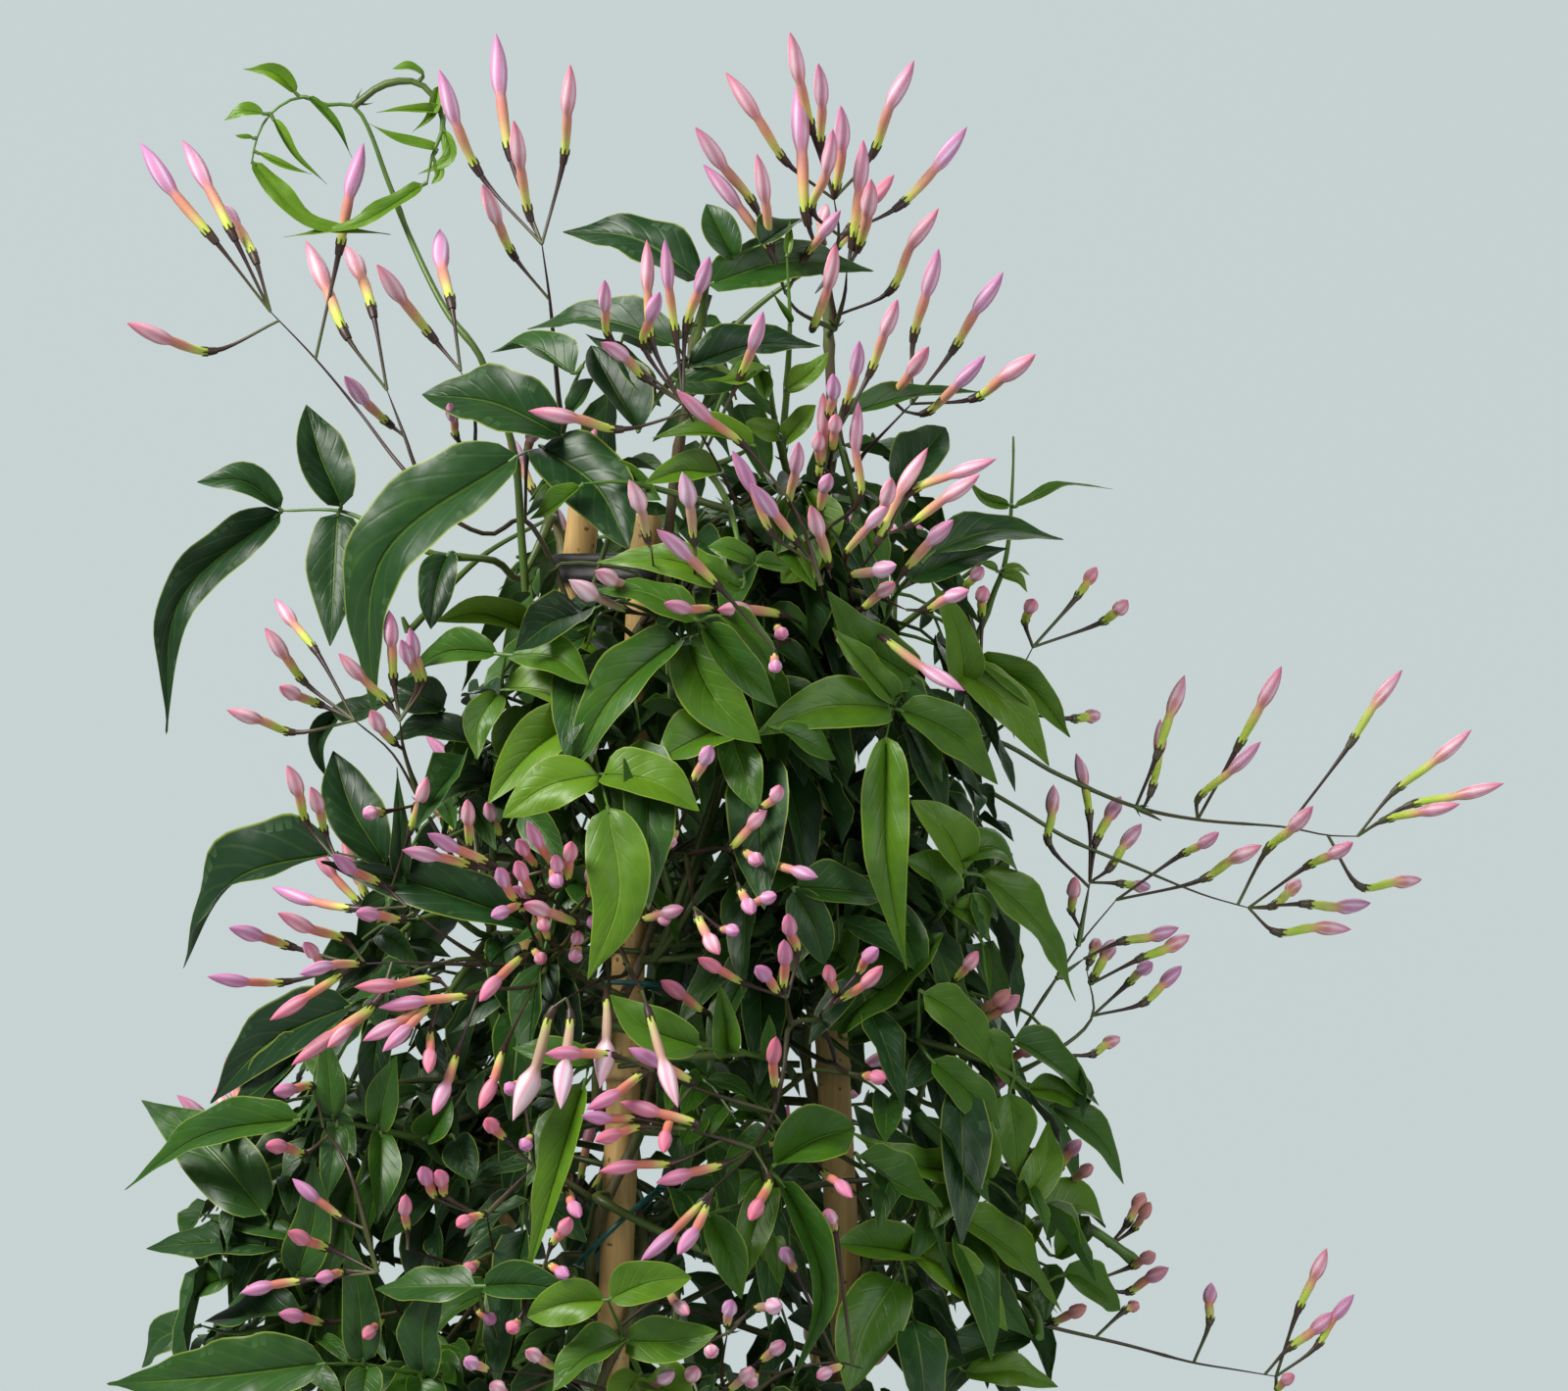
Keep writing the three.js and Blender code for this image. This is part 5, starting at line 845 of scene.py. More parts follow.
def grow_branch(piece, vine, row, bearing, low, high):
    """A rising stem round the bush, with side stems left and right of it at every storey."""

    def around(turn, height, reach):
        middle, half = between(BUSH, height)
        angle = math.radians(bearing + turn)
        across, back = half * reach * math.sin(angle), BULGE * half * reach * math.cos(angle)
        return np.array([middle + across, back, height])

    start, outward = vines[vine].leave((FLOOR_ROW - row) * SQUARE, around(0, low, BRANCH_REACH))
    heights = list(range(low, high + 1, STOREY))
    rise = [around(BRANCH_SWAY * (-1) ** k, height, BRANCH_REACH) for k, height in enumerate(heights)]
    add_stem(piece, [start, start + outward * LEAVING_RUN, *rise])
    for height in heights:
        for side in (-1, 1):
            wanted = around(0, height, BRANCH_REACH)
            fork = min((joint for joint, _ in piece.joints), key=lambda joint: math.dist(joint, wanted))
            bend = around(side * SIDE_STEM_TURN * 0.6, height + BEND_RISE, BEND_REACH)
            end = around(side * SIDE_STEM_TURN * 1.2, height + END_RISE, END_REACH)
            before = len(piece.joints)
            add_stem(piece, [fork, bend, end])
            piece.ends += list(range(before, len(piece.joints)))


# ---- How a finish is made ----
class Value:
    """A number that varies over a surface. Sums and products with it add the nodes that work them out."""

    def __init__(self, finish, socket):
        self.finish, self.socket = finish, socket

    def maths(self, operation, first, second=0.0):
        return self.finish.node("ShaderNodeMath", {"operation": operation}, {0: first, 1: second})

    def __add__(self, other):
        return self.maths("ADD", self, other)

    def __sub__(self, other):
        return self.maths("SUBTRACT", self, other)

    def __rsub__(self, other):
        return self.maths("SUBTRACT", other, self)

    def __mul__(self, other):
        return self.maths("MULTIPLY", self, other)

    def __abs__(self):
        return self.maths("ABSOLUTE", self)

    __radd__ = __add__
    __rmul__ = __mul__

    def part(self):
        """What is left above the whole number."""
        return self.maths("FRACT", self)

    def rise(self, low, high):
        """0 below low and 1 above high, or the reverse where low is the greater, with a smooth change."""
        return self.finish.node(
            "ShaderNodeMapRange",
            {"interpolation_type": "SMOOTHSTEP"},
            {"Value": self, "From Min": low, "From Max": high},
        )


class Finish:
    """A material, with its nodes made by calls."""

    def __init__(self, name, **constants):
        self.material = bpy.data.materials.new(name)
        self.material.use_nodes = True
        self.tree = self.material.node_tree
        self.shader = self.tree.nodes["Principled BSDF"]
        self.paint(**constants)

    def put(self, socket, value):
        if isinstance(value, Value):
            self.tree.links.new(value.socket, socket)
        elif isinstance(value, tuple) and len(value) == 3 and socket.type == "RGBA":
            socket.default_value = (*value, 1.0)
        else:
            socket.default_value = value

    def node(self, kind, settings, inputs, output=0):
        """A node of a kind, with its settings made before its sockets are filled; gives its output."""
        made = self.tree.nodes.new(kind)
        for setting, value in settings.items():
            if setting == "stops":
                ramp = made.color_ramp
                for _ in value[2:]:
                    ramp.elements.new(0.5)
                for element, (place, colour) in zip(ramp.elements, value):
                    element.position = place
                    element.color = (*colour, 1.0)
            else:
                setattr(made, setting, value)
        for socket, value in inputs.items():
            self.put(made.inputs[socket], value)
        return Value(self, made.outputs[output])

    def look(self, name):
        return self.node("ShaderNodeAttribute", {"attribute_name": name}, {}, "Fac")

    def noise(self, scale, detail=3.0, stretch=(1, 1, 1), roughness=0.5):
        """Cloudy noise from 0 to 1, with its scale in cells a metre."""
        place = self.node("ShaderNodeTexCoord", {}, {}, "Object")
        place = self.node("ShaderNodeVectorMath", {"operation": "MULTIPLY"}, {0: place, 1: stretch})
        inputs = {"Vector": place, "Scale": scale, "Detail": detail, "Roughness": roughness}
        return self.node("ShaderNodeTexNoise", {}, inputs, "Fac")

    def blend(self, share, first, second):
        return self.node("ShaderNodeMix", {"data_type": "RGBA"}, {0: share, 6: first, 7: second}, 2)

    def ramp(self, share, stops):
        return self.node("ShaderNodeValToRGB", {"stops": stops}, {"Fac": share}, "Color")

    def bump(self, height, depth, strength):
        """A relief of so many metres."""
        inputs = {"Height": height, "Distance": depth, "Strength": strength}
        return self.node("ShaderNodeBump", {}, inputs, "Normal")

    def paint(self, **values):
        """Sets the shader's sockets, such as base_color, to values or to what varies."""
        for name, value in values.items():
            self.put(self.shader.inputs[name.replace("_", " ").title().replace("Ior", "IOR")], value)
        return self.material


# ---- The finishes ----
def leaf_finish():
    finish = Finish("jasmine leaf", specular_ior_level=0.35)
    along, across = finish.look("along"), abs(finish.look("across"))
    under, shade = finish.look("under"), finish.look("shade")
    mottle = finish.noise(240, detail=4)
    blotch = finish.noise(60)
    tone = finish.look("tone") + 0.16 * (mottle - 0.5) + 0.45 * (blotch - 0.5) + 0.22 * (shade - 0.5)
    green = finish.ramp(tone, (
        (0.0, (0.007, 0.031, 0.008)), (0.25, (0.014, 0.055, 0.009)), (0.5, (0.028, 0.092, 0.006)),
        (0.75, (0.052, 0.132, 0.005)), (1.0, (0.100, 0.205, 0.008)),
    ))
    row = (7.0 * along - 2.2 * across + 0.5 * (blotch - 0.5)).part()
    vein = abs(row - 0.5).rise(0.16, 0.0) * across.rise(0.95, 0.7)
    rib = across.rise(0.07, 0.02)
    # A pale yellow-green line along the blade's edge: partly the leaf's own paler margin and partly painted
    # rim light, the glow of light through the thin edge.
    pale_margin_and_rim_light = across.rise(0.92, 1.0)
    pale = finish.blend(0.30, green, (0.26, 0.40, 0.05))
    top = finish.blend(0.12 * vein, green, pale)
    top = finish.blend(0.60 * rib, top, pale)
    top = finish.blend(0.60 * pale_margin_and_rim_light, top, (0.34, 0.42, 0.05))
    below = finish.blend(0.45, green, (0.070, 0.150, 0.050))
    colour = finish.blend(under, top, finish.blend(0.4 * rib, below, (0.24, 0.32, 0.10)))
    gloss = 0.33 + 0.16 * mottle + 0.2 * under
    pucker = finish.noise(130, detail=1)
    height = 0.3 * mottle + 2.6 * pucker - 0.15 * vein - 1.0 * rib
    return finish.paint(base_color=colour, roughness=gloss, normal=finish.bump(height, 0.00045, 0.6))


def stem_finish():
    finish = Finish("green and maroon stem", roughness=0.42)
    grainy = finish.noise(500, stretch=(1, 1, 0.2))
    blotch = finish.noise(70)
    colour = finish.ramp(finish.look("shade") + 0.3 * (blotch - 0.5) + 0.2 * (grainy - 0.5), (
        (0.0, (0.080, 0.190, 0.020)), (0.3, (0.072, 0.110, 0.020)), (0.55, (0.055, 0.038, 0.018)),
        (0.8, (0.036, 0.013, 0.013)), (1.0, (0.022, 0.006, 0.009)),
    ))
    return finish.paint(base_color=colour, normal=finish.bump(grainy, 0.0002, 0.5))


def vine_finish():
    finish = Finish("woody vine", roughness=0.6)
    fibre = finish.noise(900, detail=5, stretch=(1, 1, 0.12))
    blotch = finish.noise(60)
    green = finish.blend(blotch.rise(0.35, 0.7), (0.110, 0.150, 0.035), (0.150, 0.085, 0.045))
    colour = finish.blend(finish.look("along").rise(0.25, 0.0), green, (0.160, 0.105, 0.065))
    colour = finish.blend(0.6 * fibre.rise(0.35, 0.65), colour, (0.070, 0.045, 0.025))
    return finish.paint(base_color=colour, normal=finish.bump(fibre, 0.0004, 0.8))


def bud_finish():
    finish = Finish("closed pink bud", roughness=0.55, specular_ior_level=0.25)
    along, ridge = finish.look("along"), finish.look("across")
    tone, shade, green = finish.look("tone"), finish.look("shade"), finish.look("under")
    streak = finish.noise(500, detail=3)
    cloud = finish.noise(170)
    ripe = along + 0.03 * (streak - 0.5) + 0.06 * (shade - 0.5)
    ripe = ripe - 0.3 * green * along.rise(0.05, 0.3) * along.rise(0.75, 0.5)
    colour = finish.ramp(ripe, (
        (0.0, (0.400, 0.560, 0.060)), (0.14, (0.540, 0.640, 0.110)), (0.22, (0.650, 0.500, 0.180)),
        (0.30, (0.660, 0.350, 0.200)), (0.44, (0.620, 0.270, 0.220)), (0.53, (0.680, 0.310, 0.330)),
        (0.66, (0.820, 0.480, 0.560)), (0.82, (0.790, 0.400, 0.490)), (0.93, (0.700, 0.240, 0.340)),
        (1.0, (0.520, 0.080, 0.180)),
    ))
    limb = along.rise(0.47, 0.6)
    ruddy = finish.blend(limb, (0.640, 0.170, 0.110), (0.660, 0.105, 0.190))
    rosy = finish.blend(0.75 * tone.rise(0.35, 0.95) * along.rise(0.18, 0.42), colour, ruddy)
    lilac = finish.blend(0.7 * shade.rise(0.25, 0.9) * limb, rosy, (0.500, 0.255, 0.540))
    pale = finish.blend(0.7 * tone.rise(0.3, 0.0) * limb, lilac, (0.820, 0.680, 0.720))
    dusty = tone.rise(0.35, 0.05) * along.rise(0.08, 0.2) * along.rise(0.62, 0.5)
    pale = finish.blend(0.75 * dusty, pale, (0.400, 0.300, 0.220))
    peach = tone.rise(1.2, 1.5) * along.rise(0.1, 0.3)
    pale = finish.blend(0.75 * peach, pale, (0.560, 0.260, 0.180))
    edge = ridge.rise(0.4, 1.0) * limb
    colour = finish.blend(0.5 * edge, pale, (0.640, 0.170, 0.310))
    # A pale stripe along every other ridge of the limb: partly the furled petals' own paler bands and partly
    # a painted highlight.
    light = ridge.rise(0.5, 0.0) * limb * along.rise(0.95, 0.75)
    colour = finish.blend(light * (0.2 + 0.4 * tone.rise(0.9, 0.35)), colour, (0.930, 0.790, 0.860))
    colour = finish.blend(0.25 * cloud.rise(0.5, 0.75), colour, (0.600, 0.250, 0.280))
    return finish.paint(base_color=colour, normal=finish.bump(0.3 * streak + 0.5 * ridge, 0.0001, 0.2))


def calyx_finish():
    finish = Finish("dark calyx", roughness=0.45)
    blotch = finish.noise(400)
    colour = finish.ramp(finish.look("shade") + 0.35 * (blotch - 0.5), (
        (0.0, (0.080, 0.120, 0.025)), (0.45, (0.055, 0.030, 0.018)), (1.0, (0.020, 0.006, 0.009)),
    ))
    return finish.paint(base_color=colour, normal=finish.bump(blotch, 0.0001, 0.4))


def cane_finish():
    finish = Finish("bamboo cane", coat_weight=0.15, coat_roughness=0.4)
    fibre = finish.noise(700, detail=5, stretch=(1, 1, 0.03))
    blotch = finish.noise(28, detail=4)
    speck = finish.noise(420, detail=2)
    shade = finish.look("shade")
    colour = finish.blend(fibre.rise(0.3, 0.7), (0.760, 0.500, 0.190), (0.620, 0.380, 0.130))
    colour = finish.blend(0.55 * blotch.rise(0.5, 0.72), colour, (0.360, 0.210, 0.080))
    colour = finish.blend(0.85 * speck.rise(0.66, 0.72), colour, (0.060, 0.035, 0.020))
    # The shade look darkens the cane: its own dark lines at the nodes, and painted shade down the hollow top.
    colour = finish.blend(shade, colour, (0.110, 0.060, 0.030))
    rough = 0.42 + 0.25 * fibre
    return finish.paint(base_color=colour, roughness=rough, normal=finish.bump(fibre, 0.0003, 0.6))


def pot_finish():
    finish = Finish("brown plastic pot", specular_ior_level=0.45)
    fine = finish.noise(1400, detail=3)
    cloud = finish.noise(14, detail=5, roughness=0.6)
    scuff = finish.noise(120, detail=6, stretch=(1, 1, 0.25), roughness=0.7)
    colour = finish.blend(cloud.rise(0.35, 0.7), (0.052, 0.036, 0.029), (0.075, 0.054, 0.044))
    colour = finish.blend(0.35 * scuff.rise(0.62, 0.8), colour, (0.180, 0.150, 0.125))
    dust = finish.look("shade") * cloud.rise(0.3, 0.75)
    colour = finish.blend(0.5 * dust, colour, (0.150, 0.105, 0.075))
    rough = 0.46 + 0.14 * scuff + 0.1 * cloud
    return finish.paint(base_color=colour, roughness=rough, normal=finish.bump(fine, 0.0002, 0.25))


def soil_finish():
    finish = Finish("potting soil", roughness=0.92)
    crumb = finish.noise(260, detail=6, roughness=0.65)
    lump = finish.noise(60, detail=3)
    tone = finish.look("tone")
    colour = finish.blend(crumb.rise(0.35, 0.65), (0.020, 0.012, 0.007), (0.085, 0.052, 0.030))
    colour = finish.blend(0.5 * lump.rise(0.5, 0.7), colour, (0.030, 0.020, 0.013))
    colour = finish.blend(tone, colour, (0.230, 0.150, 0.085))
    return finish.paint(base_color=colour, normal=finish.bump(crumb, 0.0012, 0.9))


def plain_finish(name, dark, light, roughness, cells, depth):
    finish = Finish(name)
    grainy = finish.noise(cells, detail=4)
    wear = finish.noise(cells / 6)
    colour = finish.blend(grainy.rise(0.3, 0.75), dark, light)
    colour = finish.blend(0.4 * wear.rise(0.55, 0.75), colour, light)
    rough = roughness + 0.2 * wear
    return finish.paint(base_color=colour, roughness=rough, normal=finish.bump(grainy, depth, 0.4))


LEAF, STEM, WOOD, BUD, CALYX = leaf_finish(), stem_finish(), vine_finish(), bud_finish(), calyx_finish()
CANE, POT, SOIL = cane_finish(), pot_finish(), soil_finish()
TIE = plain_finish("black tie", (0.010, 0.010, 0.010), (0.028, 0.027, 0.026), 0.45, 500, 0.0002)
WIRE = plain_finish("green coated wire", (0.006, 0.075, 0.065), (0.015, 0.130, 0.110), 0.35, 700, 0.0001)

# ---- Leaves ----
LEAF_FACING = np.array([0, -1, 0.6])
# Blades under STOUT times as long as wide are oval, and those over SLENDER times are drawn out to a long tip.
STOUT, SLENDER = 1.6, 4.2
BLADE_THICKNESS = 0.3
BLADE_END = 0.985
# Half width above which a blade's margin is less and less ruffled.
CALM_WIDTH = 4
# A drawn leaf hangs back by at most this share of the length that shows, and its middle arches forward.
LEAF_FALL, LEAF_ARCH = 0.55, 0.05
# A drawn blade is as wide as it shows, divided by the share of it that faces the eye, which is this at least.
LEAST_SEEN = 0.5
LEAF_STALK_RADII = (0.55, 0.42)
# How much darker a leaf in the shade is painted, as painted shade, for each mm that it lies farther back.
PAINTED_SHADE_A_MM = 0.05


def outline(share, slender):
    """Half widths along a blade, as shares of the widest."""
    rise, fall = 0.5 - 0.06 * slender, 0.9 + 0.65 * slender
    widest = rise / (rise + fall)
    width = share**rise * (1 - share) ** fall / (widest**rise * (1 - widest) ** fall)
    return np.maximum(width, 0.04)


def blade(piece, path, start, facing, half_width, tone, rows=16, columns=6, limp=1.0):
    """A folded, rippled leaf blade along a path, from a share of its length to its end."""
    chance = piece.chance
    share = np.linspace(0, 1, rows) ** 1.1 * BLADE_END
    places = start + share * (1 - start)
    middle, along = path.at(places), path.along(places)
    across = np.cross(path.at(1.0) - path.at(start), facing)
    side = unit(across - along * (along @ across)[:, None])
    normal = np.cross(side, along)
    turn = chance.uniform(-0.32, 0.32) * limp + chance.uniform(-0.6, 0.6) * limp * share[:, None]
    side, normal = (
        side * np.cos(turn) + normal * np.sin(turn),
        normal * np.cos(turn) - side * np.sin(turn),
    )
    length = path.length * (1 - start)
    slender = min(max((length / (2 * half_width) - STOUT) / (SLENDER - STOUT), 0), 1)
    fold = chance.uniform(0.55, 1.05)
    width = half_width / math.cos(0.7 * fold) * outline(share, slender)
    even = np.linspace(-1, 1, columns + 1)
    over = np.sign(even) * np.abs(even) ** 1.35
    across = np.concatenate([over, over[-2:0:-1]])
    under = np.arange(len(across)) > columns
    ripples = chance.uniform(0.11, 0.17) * length ** 0.8
    wave = np.sin(TURN * (ripples * share[:, None] + chance.random()) + 2.3 * np.sign(across)[None, :])
    fold_now = fold * (1.1 - 0.5 * share[:, None])
    calm = min(1, CALM_WIDTH / half_width)
    curl, ruffle = chance.uniform(0.1, 0.45), chance.uniform(0.1, 0.26) * calm
    rise = np.abs(across) * np.sin(fold_now) - curl * across**2 + ruffle * wave * np.abs(across) ** 3
    lift = width[:, None] * rise
    reach = width[:, None] * across * np.cos(fold_now) * (1 + 0.07 * calm**2 * wave * across**2)
    thick = BLADE_THICKNESS * under * (1.1 - np.abs(across))[None, :] * (width / width.max())[:, None] ** 0.5
    sag = chance.uniform(0.0, 0.06) * limp * path.length * (share**3)[:, None]
    flat = middle[:, None] + side[:, None] * reach[:, :, None]
    rings = flat + normal[:, None] * (lift - thick - sag)[:, :, None]
    tip = path.at(1.0) - normal[-1] * float(sag[-1, 0])
    piece.skin(
        rings, LEAF, (path.at(start), tip), along=share[:, None], across=across[None, :], tone=tone,
        shade=chance.random(), under=under[None, :].astype(float),
    )


def drawn_leaf(piece, leaf, set_back, green):
    """A drawn leaf, from the stem through its base and its bowed middle to its tip."""
    column, row, tip_column, tip_row, width, bow, *back = leaf
    back = sum(back)
    reach = math.hypot(tip_column - column, tip_row - row)
    joint = nearest_joint(piece, (column, row))
    middle_column = (column + tip_column) / 2 - bow * (tip_row - row) / reach
    middle_row = (row + tip_row) / 2 + bow * (tip_column - column) / reach
    base_depth = (joint[1] + set_back - bulge(column, row)) / 2 + back
    most = LEAF_FALL * reach * SQUARE
    fall = min(max(set_back + back - bulge(tip_column, tip_row) - base_depth, -most), most)
    base = at_depth(column, row, base_depth)
    middle = at_depth(middle_column, middle_row, base_depth + fall / 2 - LEAF_ARCH * reach * SQUARE)
    tip = at_depth(tip_column, tip_row, base_depth + fall)
    along = unit(tip - base)
    side = unit(np.cross(along, LEAF_FACING))
    seen = max(LEAST_SEEN, abs(np.cross(side, along)[1]))
    stalk_length = math.dist(joint, base)
    path = path_through([joint, base, middle, tip])
    stalk = stalk_length / (stalk_length + math.dist(base, middle) + math.dist(middle, tip))
    # The tone paints shade: the shoot's greenness is partly painted shade and light, and a leaf lying farther
    # back is painted darker.
    tone = green + piece.chance.uniform(-0.16, 0.16) - PAINTED_SHADE_A_MM * back
    tube(piece, path, LEAF_STALK_RADII, STEM, sides=6, step=2.5, high=stalk + 0.03, shade=0.15)
    rows = min(max(round(reach / 9), 15), 30)
    blade(piece, path, stalk, LEAF_FACING, width * SQUARE / 2 / seen, tone, rows, limp=0.8)


def in_the_way(place):
    """Whether a place lies in front of what should show, or outside the foliage's edges."""
    left, right = between(EDGES, place[2])
    bare = place[1] < BARE_DEPTH and inside(BARE, on_grid(place))
    return bare or not left < place[0] < right


def over_the_pot(place):
    """The place, raised where it would lie in the pot or in its wall."""
    if math.hypot(place[0], place[1]) < POT_RIM_RADIUS + LEAF_CLEARANCE:
        place[2] = max(place[2], POT_HEIGHT + LEAF_CLEARANCE)
    return place


def leaflet(piece, spot, heading, length, facing, tone):
    """A leaflet that droops from its spot, or nothing where it would be in the way."""
    chance = piece.chance
    heading = unit(heading + scatter(chance, [-0.2] * 3, [0.2] * 3))
    drop = length * chance.uniform(0.05, 0.4)
    middle = spot + heading * length * 0.5 - UP * drop * 0.2
    tip = spot + heading * length * 0.93 - UP * drop
    points = [spot, over_the_pot(middle), over_the_pot(tip)]
    if any(in_the_way(place) for place in points[1:]):
        return
    half = length * chance.uniform(0.19, 0.25)
    blade(piece, Path(points, samples=16), 0.06, facing, half, tone, rows=9, columns=4, limp=1.3)


# Where the pairs of leaflets are, as shares of the way along a compound leaf.
LEAFLET_PAIRS = (0.45, 0.8)


def compound_leaf(piece, joint, heading, length, tone):
    """A leaf of paired leaflets and a longer end one, drooping from its joint."""
    chance = piece.chance
    reach = length * 0.8
    droop = chance.uniform(0.1, 0.7) * reach
    end = over_the_pot(joint + heading * reach * 0.92 - UP * droop)
    path = Path([joint, joint + heading * reach * 0.5, end], samples=16)
    if in_the_way(end):
        return
    tube(piece, path, (0.5, 0.3), STEM, sides=5, step=5, shade=0.1 + 0.3 * chance.random())
    flat = np.array([heading[0], heading[1], 0])
    facing = unit(0.7 * flat + UP * chance.uniform(0.4, 1.0))
    for share in LEAFLET_PAIRS:
        spot, ahead = path.at(share), path.along(share)
        level = unit(np.cross(ahead, facing))
        for side in (-1, 1):
            size = length * chance.uniform(0.48, 0.66)
            leaflet(piece, spot, ahead * 0.55 + level * side, size, facing, tone)
    leaflet(piece, path.at(1.0), path.along(1.0), length * chance.uniform(0.85, 1.1), facing, tone)


# ---- Buds ----
# A closed bud's outline: share of its length, radius as a share of its length.
BUD_OUTLINE = np.array([
  [0, 0.031], [0.05, 0.034], [0.12, 0.037], [0.20, 0.040], [0.28, 0.043], [0.36, 0.045], [0.43, 0.045],
  [0.48, 0.042], [0.51, 0.043], [0.54, 0.051], [0.58, 0.061], [0.63, 0.068], [0.69, 0.070], [0.75, 0.067],
  [0.81, 0.059], [0.87, 0.046], [0.92, 0.031], [0.96, 0.016], [0.985, 0.006],
])
BUD_SIDES = 10
# How far the petals wind round a bud (radians), and its limb's least radius.
BUD_WIND = 1.5
LEAST_LIMB = 1.65
# A drawn bud leans to or from the eye by at most LEAN times the length that shows, and away only where the
# bush is under EDGE of its depth. A joint beside a bud counts as BESIDE times as far off, and one right
# behind it as 1 less.
LEAN = 1.4
BESIDE = 1.6
EDGE = 0.3
BUD_STALK_RADII = (0.38, 0.38, 0.42, 0.72)
# How far green runs up the tubes of the youngest sprays' buds, and of all others.
GREEN_TUBES = {
  "spray_far_right": 0.75, "spray_right_middle": 0.8, "spray_right_young": 1.0, "spray_right_edge": 0.5,
  "spray_upper_middle": 0.3, "spray_left_middle": 0.4,
}
GREEN_TUBE = 0.1
# Where old buds have faded to peach, [left, top, right, bottom] on the grid.
FADED = [[984, 1000, 1045, 1115], [1050, 1140, 1195, 1440]]
FADED_BLUSH = 1.45
# The calyx: a cup of [share of the bud's length, share of the cup's radius], and its pointed teeth.
CALYX_CUP = [[-0.03, 0.80], [0, 0.92], [0.03, 1.0], [0.06, 1.04], [0.075, 1.02], [0.07, 0.85]]
CALYX_THICKNESS = 0.14
CALYX_TEETH = 5
TOOTH_RADII = (0.30, 0.22, 0.04)


def furled(piece, path, low, length, blush, green):
    """The bud itself: a slender tube that swells to a pointed limb of furled petals."""
    chance = piece.chance
    share = BUD_OUTLINE[:, 0]
    swell = max(1.0, LEAST_LIMB / (BUD_OUTLINE[:, 1].max() * length)) * chance.uniform(0.92, 1.1)
    radius = BUD_OUTLINE[:, 1] * length * swell
    plump = 0.45 * max(0, 1 - blush / 0.25)
    places = low + share * (1 - low)
    side, normal = frames(path, places)
    odd = np.arange(BUD_SIDES) % 2
    angle = TURN * np.arange(BUD_SIDES)[None, :] / BUD_SIDES + BUD_WIND * share[:, None]
    radius = radius * np.interp(share, [0.5, 0.64, 0.94], [1, 1 + plump, 1])
    furl = np.interp(share, [0.4, 0.65, 0.95], [0.02, 0.07, 0.12])
    reach = radius[:, None] * (1 + furl[:, None] * (odd[None, :] - 0.5))
    ring = np.cos(angle)[:, :, None] * side[:, None] + np.sin(angle)[:, :, None] * normal[:, None]
    rings = path.at(places)[:, None] + reach[:, :, None] * ring
    piece.skin(
        rings, BUD, (path.at(low), path.at(1.0)), along=share[:, None], across=odd[None, :], tone=blush,
        shade=chance.random(), under=green,
    )
    return radius[1], side[0], normal[0]


def bud_on(piece, points, blush, maroon):
    """A bud on its stalk, through points: joint, calyx, middle and tip."""
    chance = piece.chance
    joint, calyx, middle, tip = points
    length, stalk = math.dist(calyx, tip), math.dist(joint, calyx)
    bow = scatter(chance, [-0.035] * 3, [0.035] * 3) * length
    path = path_through([joint, calyx, middle + bow, tip])
    low = stalk / (stalk + length)
    count = max(4, round(path.length * low / 2.5)) + 1
    shade = np.linspace(0.45 * maroon, maroon, count)[:, None]
    tube(piece, path, BUD_STALK_RADII, STEM, sides=6, step=2.5, high=low, shade=shade)
    green = GREEN_TUBES.get(piece.node, GREEN_TUBE)
    radius, side, normal = furled(piece, path, low, length, blush, green)
    cup = np.array(CALYX_CUP)
    places = low + cup[:, 0] * (1 - low)
    sides, normals = frames(path, places)
    cup_radius = cup[:, 1] * (radius + CALYX_THICKNESS)
    rings = round_rings(path.at(places), sides, normals, cup_radius, BUD_SIDES)
    shade = maroon * chance.uniform(0.75, 1.0) * (1 - 0.7 * green)
    piece.skin(rings, CALYX, (path.at(places[0]), path.at(low + 0.04 * (1 - low))), shade=shade)
    along = path.along(low + 0.08 * (1 - low))
    foot = path.at(low + 0.062 * (1 - low))
    for tooth in range(CALYX_TEETH):
        angle = TURN * (tooth + 0.3) / CALYX_TEETH
        out = side * math.cos(angle) + normal * math.sin(angle)
        root = foot + out * (radius + 0.05)
        reach = 0.04 * length + chance.uniform(0.5, 1.1)
        points = [root, root + along * reach * 0.5 + out * 0.1, root + along * reach + out * 0.25]
        tube(piece, Path(points, samples=8), TOOTH_RADII, CALYX, sides=4, step=1, shade=shade)


def drawn_bud(piece, bud, set_back, full_length, blush):
    """A drawn bud on its joint. Where it shows shorter than it is, it points to the eye or away from it."""
    tip_column, tip_row, column, row, *nearer = bud
    seen = math.hypot(tip_column - column, tip_row - row)

    def lean(grid):
        """A joint costs less, the straighter the bud would leave it."""
        across, down = column - grid[0], row - grid[1]
        gap = math.hypot(across, down) + 1
        return BESIDE - (across * (tip_column - column) + down * (tip_row - row)) / (gap * seen)

    joint = nearest_joint(piece, (column, row), lean)
    hidden = min(math.sqrt(max(0, full_length**2 - seen**2)), LEAN * seen) * SQUARE
    edge = bulge(tip_column, tip_row) < EDGE * bulge(AXIS_COLUMN, tip_row)
    away = edge and grain(tip_column + tip_row) > 0.5
    depth = (joint[1] + set_back - bulge(column, row)) / 2 - sum(nearer)
    calyx = at_depth(column, row, depth)
    tip = at_depth(tip_column, tip_row, depth + (hidden if away else -hidden))
    tint = FADED_BLUSH if inside(FADED, (column, row)) else blush
    tint += piece.chance.uniform(-0.15, 0.15)
    bud_on(piece, [joint, calyx, (calyx + tip) / 2, tip], tint, piece.chance.uniform(0.65, 1.0))


